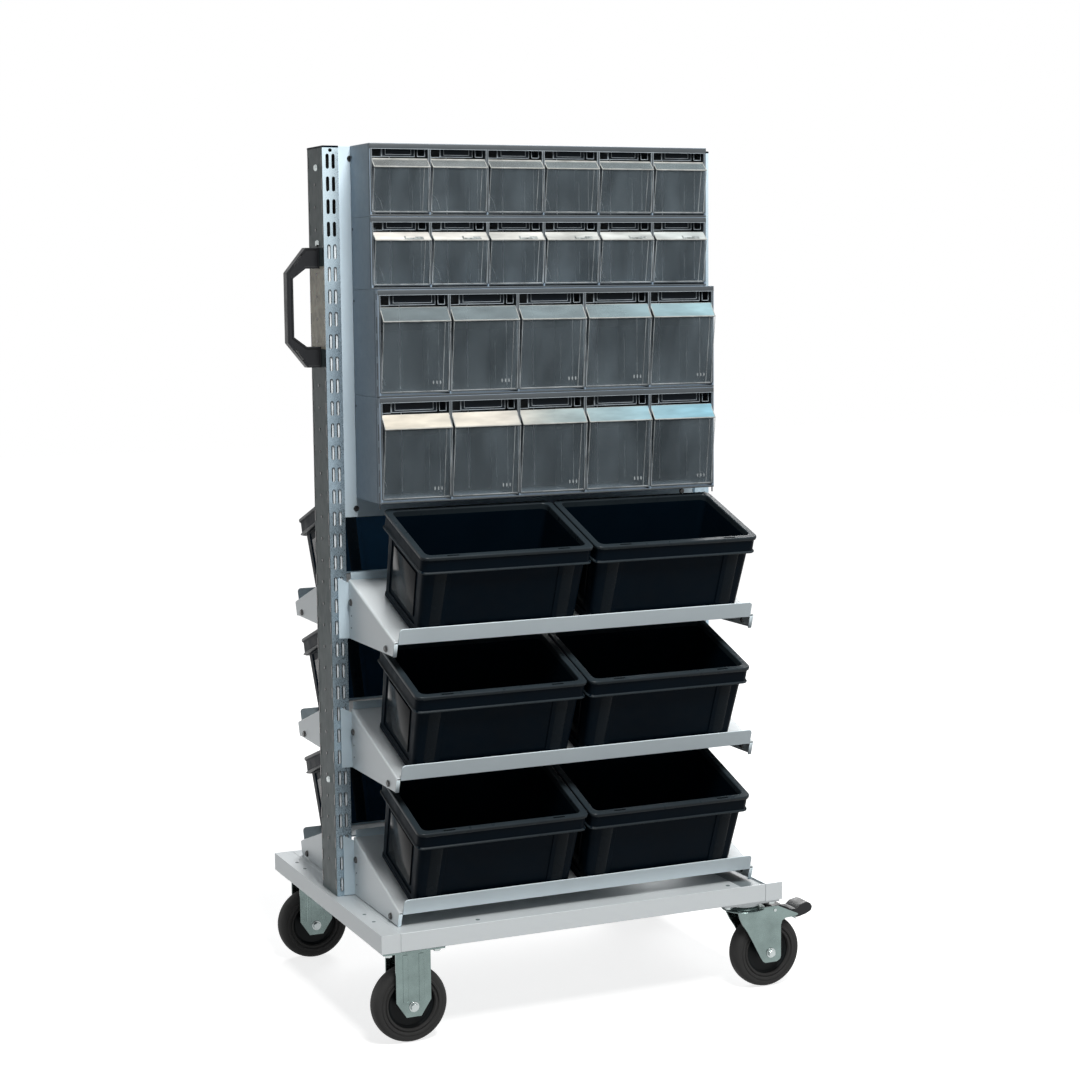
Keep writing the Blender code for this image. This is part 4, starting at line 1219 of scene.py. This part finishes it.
def bracket_screws():
    screws = bmesh.new()
    for side in (-1, 1):
        outer = side * SHELF_HALF
        for y, z in ((-0.049, LIP_Z + 0.016), (-0.214, LIP_Z - 0.036)):
            add_button(screws, (outer, y, z), (side, 0, 0), **BIG_SCREW)
            add_button(screws, (side * (SHELF_HALF - SHEET), y, z), (-side, 0, 0))
        for z in (LIP_Z - 0.006, LIP_Z - 0.026):
            add_rod(screws, (outer, -0.0505, z), 0.0014, 0.0006, "X", 10)
    return screws


def build_shelves():
    top = LIP_Z + FLANGE_RISE
    bottom = top - FLANGE_HEIGHT
    start_y, start_z = tray_point(0, 0)
    rear_z = start_z + (BRACKET_REAR - SHEET - start_y) * math.tan(TRAY_TILT)
    on_slope = Matrix.Translation((0, start_y, start_z)) @ Matrix.Rotation(TRAY_TILT, 4, "X")
    for facing, turn in (("front", 0), ("rear", math.pi)):
        sheet = tray_sheet(on_slope, bottom, rear_z)
        lip = as_mesh(tray_lip(on_slope), "lip")
        flanges = as_mesh(shelf_flanges(facing, top, bottom, rear_z), "flanges")
        screws = as_mesh(bracket_screws(), "screws")
        for level in range(3):
            tag = f"{facing}_{level + 1}"
            node = f"shelf_{tag}"
            lowered = Matrix.Translation((MIDDLE_X, 0, -level * TRAY_STEP))
            place = lowered @ Matrix.Rotation(turn, 4, "Z")
            for name, mesh, look, slot, edge in (
                ("tray", sheet, "light_grey_paint", "light_grey_paint", 0.0004),
                ("tray_lip", lip, "lip_paint", "light_grey_paint", 0.0005),
                ("side_flanges", flanges, "shelf_paint", "light_grey_paint", 0.0004),
                ("bracket_screws", screws, "black_screw", "black_plastic", 0.0),
            ):
                add_piece(
                    f"{name}_{tag}", mesh, look, node, whole=name == "tray", edge=edge, place=place
                )


def add_rounded(shape, half_x, half_y, corner, z):
    """A flat rectangle with round corners, as the first face of a moulding."""
    corners = [
        shape.verts.new((side_x * half_x, side_y * half_y, z))
        for side_x, side_y in ((-1, -1), (1, -1), (1, 1), (-1, 1))
    ]
    bmesh.ops.contextual_create(shape, geom=corners)
    round_off(shape, corners, corner, affect="VERTICES", segments=5)
    shape.faces.ensure_lookup_table()
    return shape.faces[0]


# The container's wall from its foot, over the rim and down inside: inset and height
BOX_WALL = (
    (0.0125, 0), (0.0115, 0.0012), (0.0115, 0.0070), (0.0125, 0.0082), (0.0085, SKIRT_Z - 0.001),
    (0.0030, SKIRT_Z - 0.0004), (0.0000, SKIRT_Z + 0.0010), (0.0000, SKIRT_Z + 0.0028),
    (0.0022, SKIRT_Z + 0.0042), (0.0022, BOX_HEIGHT - 0.0075), (0.0004, BOX_HEIGHT - 0.0058),
    (0.0000, BOX_HEIGHT - 0.0045), (0.0000, BOX_HEIGHT - 0.0012), (0.0012, BOX_HEIGHT),
    (0.0098, BOX_HEIGHT), (0.0108, BOX_HEIGHT - 0.0012), (0.0112, BOX_HEIGHT - 0.0100),
    (0.0150, 0.0040), (0.0180, 0.0030),
)


def moulded_box():
    """The container's closed shell, drawn up from its foot."""
    half_x, half_y = BOX_LENGTH / 2, BOX_WIDTH / 2
    shape = bmesh.new()
    inset, height = BOX_WALL[0]
    size = Vector((half_x - inset, half_y - inset))
    foot = add_rounded(shape, size.x, size.y, 0.010, height)
    kept = bmesh.ops.duplicate(shape, geom=[foot])["geom"]
    face = [item for item in kept if isinstance(item, bmesh.types.BMFace)][0]
    for inset, level in BOX_WALL[1:]:
        face = bmesh.ops.extrude_discrete_faces(shape, faces=[face])["faces"][0]
        target = Vector((half_x - inset, half_y - inset))
        bmesh.ops.scale(shape, verts=face.verts, vec=(target.x / size.x, target.y / size.y, 1))
        bmesh.ops.translate(shape, verts=face.verts, vec=(0, 0, level - height))
        size, height = target, level
    return shape


def add_to_wall(shape, detail, side, on_end=False):
    """Moves a detail drawn on the XZ plane onto a sloping wall of the container."""
    if on_end:
        reach = (side * (BOX_LENGTH / 2 - FOOT_INSET), 0, BOX_FOOT)
        turn = side * math.pi / 2
    else:
        reach = (0, side * (BOX_WIDTH / 2 - FOOT_INSET), BOX_FOOT)
        turn = 0 if side < 0 else math.pi
    lean = Matrix.Rotation(BOX_TAPER, 4, "X")
    place = Matrix.Translation(reach) @ Matrix.Rotation(turn, 4, "Z") @ lean
    bmesh.ops.transform(detail, matrix=place, verts=detail.verts)
    shape.from_mesh(as_mesh(detail, "wall_detail"))


def container_meshes():
    """The container, its corner posts and the smooth panels on its ends, from its foot's middle."""
    cutter = bmesh.new()
    posts = bmesh.new()
    panels = bmesh.new()
    recess_top = SKIRT_Z - 0.012
    for side in (-1, 1):
        for half, on_end in ((0.092, False), (0.060, True)):
            recess = add_block(bmesh.new(), (-half, -0.01, 0.006), (half, RECESS_DEPTH, recess_top))
            add_to_wall(cutter, recess, side, on_end)
        rim_y = side * (BOX_WIDTH / 2 - 0.0052)
        for reach in (-0.094, 0.094):
            heights = (BOX_HEIGHT - 0.005, BOX_HEIGHT + 0.003)
            add_slab(cutter, reach, 0.010, (rim_y - 0.0016, rim_y + 0.0016), heights)
        for reach in (-0.109, 0.109):
            post = add_rod(bmesh.new(), (reach, 0, (SKIRT_Z - BOX_FOOT) / 2), 0.010, SKIRT_Z - 0.012)
            bmesh.ops.scale(post, verts=post.verts, vec=(1, 0.16, 1))
            add_to_wall(posts, post, side)
        label = bmesh.new()
        high = (0.050, RECESS_DEPTH + 0.0004, SKIRT_Z - 0.024)
        add_block(label, (-0.050, -0.0004, 0.016), high, edge=0.0008)
        add_to_wall(panels, label, side, on_end=True)
    shell = cut_out(as_mesh(moulded_box(), "container"), as_mesh(cutter, "recesses"))
    return shell, as_mesh(posts, "posts"), as_mesh(panels, "panels")


def container_place(node):
    low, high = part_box(node)
    lean, rise = math.sin(TRAY_TILT), math.cos(TRAY_TILT)
    front = (low.y + high.y) / 2 < 0
    seat_z = high.z - BOX_WIDTH / 2 * lean - BOX_HEIGHT * rise
    reach = BOX_WIDTH / 2 * rise + BOX_HEIGHT * lean
    seat = ((low.x + high.x) / 2, low.y + reach if front else high.y - reach, seat_z)
    turn = Matrix() if front else Matrix.Rotation(math.pi, 4, "Z")
    return Matrix.Translation(seat) @ turn @ Matrix.Rotation(TRAY_TILT, 4, "X")


def in_rim_highlight(face):
    """Whether a face of the container is on its rim or on the bead round it, which get painted highlight.
    """
    x, y, z = face.center
    outside = abs(x) > BOX_LENGTH / 2 - 0.0035 or abs(y) > BOX_WIDTH / 2 - 0.0035
    on_bead = outside and SKIRT_Z - 0.0005 < z < SKIRT_Z + 0.0042
    return on_bead or (z > BOX_HEIGHT - 0.0079 and face.normal.z > -0.3)


def build_containers():
    shell, posts, panels = container_meshes()
    rim_highlight_faces = [face.index for face in shell.polygons if in_rim_highlight(face)]
    levels = [f"{facing}_{level}" for facing in ENDS for level in (1, 2, 3)]
    for name in [f"{level}_{side}" for level in levels for side in ("left", "right")]:
        node = f"container_{name}"
        place = container_place(node)
        piece = add_piece(
            f"box_{name}",
            shell,
            "black_container_plastic",
            node,
            whole=True,
            place=place,
            edge=sizes().plastic_edge,
        )
        # Painted highlight on the rim and the bead
        piece.data.materials.append(surface("black_rim_plastic"))
        for index in rim_highlight_faces:
            piece.data.polygons[index].material_index = 1
        # Painted light: the rear containers' faces that turn to the front get a brighter navy copy of the
        # black
        if name.startswith("rear"):
            piece.data.materials.append(surface("navy_black_plastic"))
            for face in piece.data.polygons:
                if face.material_index == 0 and face.normal.y < -0.7:
                    face.material_index = 2
        add_piece(f"box_posts_{name}", posts, "black_plastic_post", node, place=place)
        add_piece(f"box_panels_{name}", panels, "smooth_black_plastic", node, place=place)


def build_base():
    add_piece(
        "base_channels",
        node_shape("base_frame"),
        "light_grey_paint",
        "base_frame",
        whole=True,
        edge=0.0012,
    )
    low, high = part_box("deck")
    side_top = BASE_TOP - 0.0001
    deck = bmesh.new()
    add_block(deck, (low.x, low.y, BASE_TOP - SHEET), (high.x - DECK_STRIP, high.y, BASE_TOP))
    for front in (low.y, high.y - SHEET):
        add_block(deck, (low.x, front, CHANNEL_BOTTOM), (high.x, front + SHEET, side_top))
    add_piece("deck_sheet", deck, "light_grey_paint", "deck", whole=True, edge=0.0008)
    strip = bmesh.new()
    strip_top = BASE_TOP - DECK_STRIP_DROP
    add_block(
        strip,
        (high.x - DECK_STRIP, low.y + SHEET, strip_top - SHEET),
        (high.x, high.y - SHEET, strip_top),
    )
    add_piece("deck_end_strip", strip, "grey_deck_strip", "deck", edge=0.0004)
    screws = bmesh.new()
    for y in DECK_SCREW_YS:
        for x in DECK_SCREW_XS:
            add_rod(screws, (MIDDLE_X + x, y, BASE_TOP), 0.0035, 0.0012, steps=16)
    for y in CHANNEL_SCREW_YS:
        for side in (-1, 1):
            add_rod(screws, (MIDDLE_X + side * CHANNEL_SCREW_X, y, BASE_TOP), 0.003, 0.0006, steps=14)
    add_piece("deck_screws", screws, "dull_zinc", "deck")


def add_leg(fork, axle, side, outline):
    """One sheet leg of a fork, on one side of its wheel."""
    near, far = sorted((axle.y + side * FORK_OUTER, axle.y + side * FORK_INNER))
    add_plate(fork, outline, near, far, "Y")


def axle_shape(axle):
    """The axle bolt, with a hexagonal head in front and a nut behind."""
    shape = add_rod(bmesh.new(), axle, 0.0058, 0.050, "Y")
    for side in (-1, 1):
        add_rod(shape, axle + Vector((0, side * 0.0258, 0)), 0.0085, 0.0014, "Y")
        add_rod(shape, axle + Vector((0, side * 0.0286, 0)), 0.0066, 0.0050, "Y", 6)
    return shape


def plate_bolts(x, y, z):
    """The four hexagonal bolts that hold a caster's top plate."""
    bolts = bmesh.new()
    for side_x in (-1, 1):
        for side_y in (-1, 1):
            place = (x + side_x * PLATE_BOLT_X, y + side_y * PLATE_BOLT_Y, z)
            add_rod(bolts, place, BOLT_RADIUS, BOLT_HEIGHT, steps=6)
    return bolts


def build_fixed_forks():
    for word in ENDS:
        node = f"fixed_fork_{word}"
        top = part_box(node)[1].z
        plate_bottom = top - CASTER_PLATE
        axle = JOINT_AT[BODY_OF[f"wheel_fixed_{word}"]]
        fork = bmesh.new()
        depths = (axle.y - CASTER_PLATE_HALF_Y, axle.y + CASTER_PLATE_HALF_Y)
        add_slab(fork, axle.x, CASTER_PLATE_HALF_X, depths, (plate_bottom, top), edge=0.0012)
        half_leg = [(0.0295, plate_bottom + 0.001), (0.0295, axle.z + 0.009), (0.0125, axle.z - 0.0165)]
        leg = [(axle.x - x, z) for x, z in half_leg] + [(axle.x + x, z) for x, z in reversed(half_leg)]
        for side in (-1, 1):
            add_leg(fork, axle, side, leg)
            for reach in (-FORK_RIB_REACH, FORK_RIB_REACH):
                middle = (axle.x + reach, 0, axle.z + FORK_RIB_RISE)
                rib = add_rod(bmesh.new(), middle, 0.0045, 0.078, steps=16)
                bmesh.ops.scale(rib, verts=rib.verts, vec=(1, FORK_RIB_FLATNESS, 1))
                bmesh.ops.translate(rib, verts=rib.verts, vec=(0, axle.y + side * FORK_OUTER, 0))
                fork.from_mesh(as_mesh(rib, "rib"))
        add_piece(f"fork_fixed_{word}", fork, "caster_zinc", node, whole=True, edge=0.0006)
        add_piece(f"axle_fixed_{word}", axle_shape(axle), "bright_screw", node, edge=0.0006)
        bolts = plate_bolts(axle.x, axle.y, plate_bottom - BOLT_HEIGHT / 2)
        add_piece(f"plate_bolts_fixed_{word}", bolts, "bright_screw", node, edge=0.0005)


# Half of a wheel's rim and tyre as turned: radius and distance from the wheel's middle
HALF_RIM = [
    (0.0063, 0.0213), (0.0125, 0.0213), (0.0160, 0.0200), (0.0165, 0.0085), (0.0200, 0.0070),
    (0.0350, 0.0070), (0.0385, 0.0095), (0.0395, 0.0130),
]
HALF_TYRE = [
    (0.0390, 0.0135), (0.0405, 0.0158), (0.0425, 0.0158), (0.0435, 0.0142), (0.0450, 0.0142),
    (0.0462, 0.0168), (0.0490, 0.0170), (0.0500, 0.0156), (0.0520, 0.0158), (0.0560, 0.0160),
    (0.0590, 0.0140), (0.0610, 0.0110), (0.0620, 0.0070), (0.0625, 0.0020),
]


def turned_wheel_part(half_profile, axle, steps):
    profile = half_profile + [(radius, -along) for radius, along in reversed(half_profile)]
    return add_turned(bmesh.new(), profile, axle, "Y", steps)


def build_wheels():
    for kind in ("fixed", "swivel"):
        for word in ENDS:
            tag = f"{kind}_{word}"
            node = f"wheel_{tag}"
            axle = JOINT_AT[BODY_OF[node]]
            rim = turned_wheel_part(HALF_RIM, axle, 64)
            add_piece(f"rim_{tag}", rim, "wheel_black_plastic", node, whole=True)
            tyre = turned_wheel_part(HALF_TYRE, axle, 72)
            add_piece(f"tyre_{tag}", tyre, "black_rubber", node, smooth=50)


# The swivel fork's head as radius and drop from its top, and its leg as (X, Z) from the axle
SWIVEL_HEAD = (
    (0.002, 0), (0.024, 0), (0.027, 0.001), (0.030, 0.0042), (0.0365, 0.0052), (0.0372, 0.0062),
    (0.0365, 0.0072), (0.030, 0.0085), (0.002, 0.0085),
)
SWIVEL_LEG = (
    (-0.064, 0.0805), (-0.060, 0.066), (-0.054, 0.054), (-0.045, 0.041), (-0.034, 0.021),
    (-0.020, -0.006), (-0.0145, -0.0145), (-0.010, -0.0168), (0.012, -0.0168), (0.0185, -0.013),
    (0.0200, -0.008), (0.0200, 0.046), (0.0225, 0.0535), (0.0290, 0.0570), (0.0480, 0.0580),
    (0.0540, 0.0600), (0.0520, 0.0630), (0.0380, 0.0690), (0.0150, 0.0800), (0.0, 0.0805),
)


def build_swivel_forks():
    for word in ENDS:
        node = f"swivel_fork_{word}"
        axle = JOINT_AT[BODY_OF[f"wheel_swivel_{word}"]]
        king_x = axle.x - KING_PIN_OFFSET
        profile = [(radius, SWIVEL_HEAD_TOP - drop) for radius, drop in SWIVEL_HEAD]
        head = add_turned(bmesh.new(), profile, (king_x, axle.y, 0), "Z", 48)
        fork = bmesh.new()
        fork.from_mesh(as_mesh(head, "head"))
        for side in (-1, 1):
            add_leg(fork, axle, side, [(axle.x + x, axle.z + z) for x, z in SWIVEL_LEG])
        add_piece(f"fork_swivel_{word}", fork, "caster_zinc", node, whole=True, edge=0.0006)
        add_piece(f"axle_swivel_{word}", axle_shape(axle), "bright_screw", node, edge=0.0006)
        pivot = JOINT_AT[BODY_OF[f"brake_pedal_{word}"]]
        pin = add_rod(bmesh.new(), pivot, 0.0029, 0.052, "Y", 16)
        add_piece(f"pedal_pin_{word}", pin, "bright_screw", node, edge=0.0003)
        plate = add_rod(bmesh.new(), (king_x, axle.y, SWIVEL_RING_Z), 0.0265, 0.0055, steps=40, edge=0.0008)
        add_piece(f"bearing_ring_{word}", plate, "caster_zinc", "base_frame")
        bolts = plate_bolts(king_x, axle.y, SWIVEL_BOLT_Z)
        add_piece(f"plate_bolts_swivel_{word}", bolts, "bright_screw", "base_frame", edge=0.0005)


# The brake pedal and its spring tab as (X, Z) from the pedal's pivot
PEDAL = (
    (-0.0055, 0.000), (-0.002, 0.0055), (0.012, 0.0060), (0.024, 0.0020), (0.036, -0.0050),
    (0.044, -0.0055), (0.052, 0.0010), (0.066, 0.0040), (0.074, 0.0010), (0.0778, -0.0050),
    (0.0755, -0.0120), (0.066, -0.0165), (0.052, -0.0200), (0.046, -0.0205), (0.038, -0.0170),
    (0.020, -0.0110), (0.000, -0.0055),
)
SPRING_TAB = ((0.030, -0.0150), (0.052, -0.0270), (0.053, -0.0260), (0.040, -0.0150))


def pedal_part(outline, pivot, half):
    points = [(pivot.x + x, pivot.z + z) for x, z in outline]
    return add_plate(bmesh.new(), points, pivot.y - half, pivot.y + half, "Y")


def build_pedals():
    for word in ENDS:
        node = f"brake_pedal_{word}"
        pivot = JOINT_AT[BODY_OF[node]]
        add_piece(
            f"pedal_{word}",
            pedal_part(PEDAL, pivot, 0.018),
            "black_handle_plastic",
            node,
            whole=True,
            edge=0.0018,
            segments=3,
        )
        spring = pedal_part(SPRING_TAB, pivot, 0.006)
        add_piece(f"pedal_spring_{word}", spring, "caster_zinc", node, edge=0.0003)


def seen_rays(tree):
    """1 for rays from the camera, from glossy surfaces and through clear ones, and 0 for others."""
    rays = tree.nodes.new("ShaderNodeLightPath").outputs
    total = rays["Is Camera Ray"]
    for kind in ("Is Glossy Ray", "Is Transmission Ray"):
        larger = tree.nodes.new("ShaderNodeMath")
        larger.operation = "MAXIMUM"
        tree.links.new(total, larger.inputs[0])
        tree.links.new(rays[kind], larger.inputs[1])
        total = larger.outputs[0]
    return total


def by_ray(tree, unseen, seen, output_kind):
    """Ends a shader tree in one shader for the rays that are seen and another for the rest."""
    blend = tree.nodes.new("ShaderNodeMixShader")
    output = tree.nodes.new(output_kind)
    for source, socket in (
        (seen_rays(tree), blend.inputs[0]),
        (unseen.outputs[0], blend.inputs[1]),
        (seen.outputs[0], blend.inputs[2]),
        (blend.outputs[0], output.inputs["Surface"]),
    ):
        tree.links.new(source, socket)


def floor_material():
    """A floor that bounces little light, and is seen pale and fading to white away from the cart."""
    material = bpy.data.materials.new("pale_floor")
    material.use_nodes = True
    tree = material.node_tree
    tree.nodes.clear()
    matt = linked(tree, "ShaderNodeBsdfDiffuse", Color=(0.20, 0.20, 0.20, 1))
    pale = linked(tree, "ShaderNodeBsdfDiffuse", Color=(0.5, 0.5, 0.5, 1))
    reach = linked(tree, "ShaderNodeVectorMath", Vector=object_place(tree))
    reach.operation = "LENGTH"
    strength = ranged(tree, reach.outputs["Value"], 0.80, 1.0, 0.7, 2.2)
    glow = linked(tree, "ShaderNodeEmission", Color=(1, 1, 1, 1), Strength=strength)
    both = tree.nodes.new("ShaderNodeAddShader")
    tree.links.new(pale.outputs[0], both.inputs[0])
    tree.links.new(glow.outputs[0], both.inputs[1])
    by_ray(tree, matt, both, "ShaderNodeOutputMaterial")
    return material


def add_lamp(name, place, target, size, power, colour):
    light = bpy.data.lights.new(name, "AREA")
    light.shape = "RECTANGLE"
    light.size, light.size_y = size
    light.energy = power
    light.color = colour
    lamp = bpy.data.objects.new(name, light)
    lamp.location = place
    lamp.rotation_euler = (Vector(target) - Vector(place)).to_track_quat("-Z", "Y").to_euler()
    bpy.context.scene.collection.objects.link(lamp)


def build_stage():
    scene = bpy.context.scene
    camera_data = bpy.data.cameras.new("camera")
    camera_data.lens = CAMERA_LENS
    camera_data.shift_x, camera_data.shift_y = CAMERA_SHIFT
    camera = bpy.data.objects.new("camera", camera_data)
    camera.location = CAMERA_PLACE
    camera.rotation_euler = [math.radians(angle) for angle in CAMERA_TURN]
    scene.collection.objects.link(camera)
    scene.camera = camera
    floor_shape = bmesh.new()
    bmesh.ops.create_grid(floor_shape, x_segments=1, y_segments=1, size=12)
    floor = bpy.data.objects.new("floor", as_mesh(floor_shape, "floor"))
    scene.collection.objects.link(floor)
    floor.data.materials.append(floor_material())
    world = bpy.data.worlds.new("studio")
    scene.world = world
    world.use_nodes = True
    tree = world.node_tree
    tree.nodes.clear()
    ambient = linked(tree, "ShaderNodeBackground", Color=(0.90, 0.96, 1.0, 1), Strength=0.10)
    white = linked(tree, "ShaderNodeBackground", Color=(1, 1, 1, 1), Strength=1.0)
    by_ray(tree, ambient, white, "ShaderNodeOutputWorld")
    for lamp in LAMPS:
        add_lamp(*lamp)
    scene.view_settings.view_transform = "Standard"


class BinCartOperator:
    bl_options = {"REGISTER", "UNDO"}


class BINCART_OT_base(BinCartOperator, bpy.types.Operator):
    """Builds the painted base channels and deck"""

    bl_idname = "bin_cart.base"
    bl_label = "Base"

    def execute(self, context):
        build_base()
        return {"FINISHED"}


class BINCART_OT_casters(BinCartOperator, bpy.types.Operator):
    """Builds the forks, wheels and brake pedals"""

    bl_idname = "bin_cart.casters"
    bl_label = "Casters"

    def execute(self, context):
        build_fixed_forks()
        build_swivel_forks()
        build_wheels()
        build_pedals()
        return {"FINISHED"}


class BINCART_OT_rack(BinCartOperator, bpy.types.Operator):
    """Builds the slotted uprights, the push handle and the back panel"""

    bl_idname = "bin_cart.rack"
    bl_label = "Rack"

    def execute(self, context):
        build_uprights()
        build_handle()
        build_panel()
        return {"FINISHED"}


class BINCART_OT_tilt_units(BinCartOperator, bpy.types.Operator):
    """Builds the housings and their clear tilt bins"""

    bl_idname = "bin_cart.tilt_units"
    bl_label = "Tilt-Bin Units"

    def execute(self, context):
        build_housings()
        build_tilt_bins()
        return {"FINISHED"}


class BINCART_OT_shelves(BinCartOperator, bpy.types.Operator):
    """Builds the sloping shelves with their brackets and screws"""

    bl_idname = "bin_cart.shelves"
    bl_label = "Shelves"

    def execute(self, context):
        build_shelves()
        return {"FINISHED"}


class BINCART_OT_containers(BinCartOperator, bpy.types.Operator):
    """Builds the open containers on the shelves"""

    bl_idname = "bin_cart.containers"
    bl_label = "Containers"

    def execute(self, context):
        build_containers()
        return {"FINISHED"}


class BINCART_OT_stage(BinCartOperator, bpy.types.Operator):
    """Builds the floor, the lights and the camera"""

    bl_idname = "bin_cart.stage"
    bl_label = "Stage"

    def execute(self, context):
        build_stage()
        return {"FINISHED"}


OPERATORS = (
    BINCART_OT_base,
    BINCART_OT_casters,
    BINCART_OT_rack,
    BINCART_OT_tilt_units,
    BINCART_OT_shelves,
    BINCART_OT_containers,
    BINCART_OT_stage,
)


class BINCART_PT_panel(bpy.types.Panel):
    """Lists the sizes, the colours and the pieces of the cart"""

    bl_label = "Bin Cart"
    bl_idname = "BINCART_PT_panel"
    bl_space_type = "VIEW_3D"
    bl_region_type = "UI"
    bl_category = "Bin Cart"

    def draw(self, context):
        for group in (context.scene.bin_cart_sizes, context.scene.bin_cart_colours):
            column = self.layout.column()
            for name in group.__annotations__:
                column.prop(group, name)
        for operator in OPERATORS:
            self.layout.operator(operator.bl_idname)


CLASSES = (BinCartSizes, BinCartColours, *OPERATORS, BINCART_PT_panel)


def register():
    for each in CLASSES:
        bpy.utils.register_class(each)
    bpy.types.Scene.bin_cart_sizes = PointerProperty(type=BinCartSizes)
    bpy.types.Scene.bin_cart_colours = PointerProperty(type=BinCartColours)


def unregister():
    del bpy.types.Scene.bin_cart_colours
    del bpy.types.Scene.bin_cart_sizes
    for each in reversed(CLASSES):
        bpy.utils.unregister_class(each)


def main():
    register()
    bpy.ops.bin_cart.base()
    bpy.ops.bin_cart.casters()
    bpy.ops.bin_cart.rack()
    bpy.ops.bin_cart.tilt_units()
    bpy.ops.bin_cart.shelves()
    bpy.ops.bin_cart.containers()
    bpy.ops.bin_cart.stage()


if __name__ == "__main__":
    main()
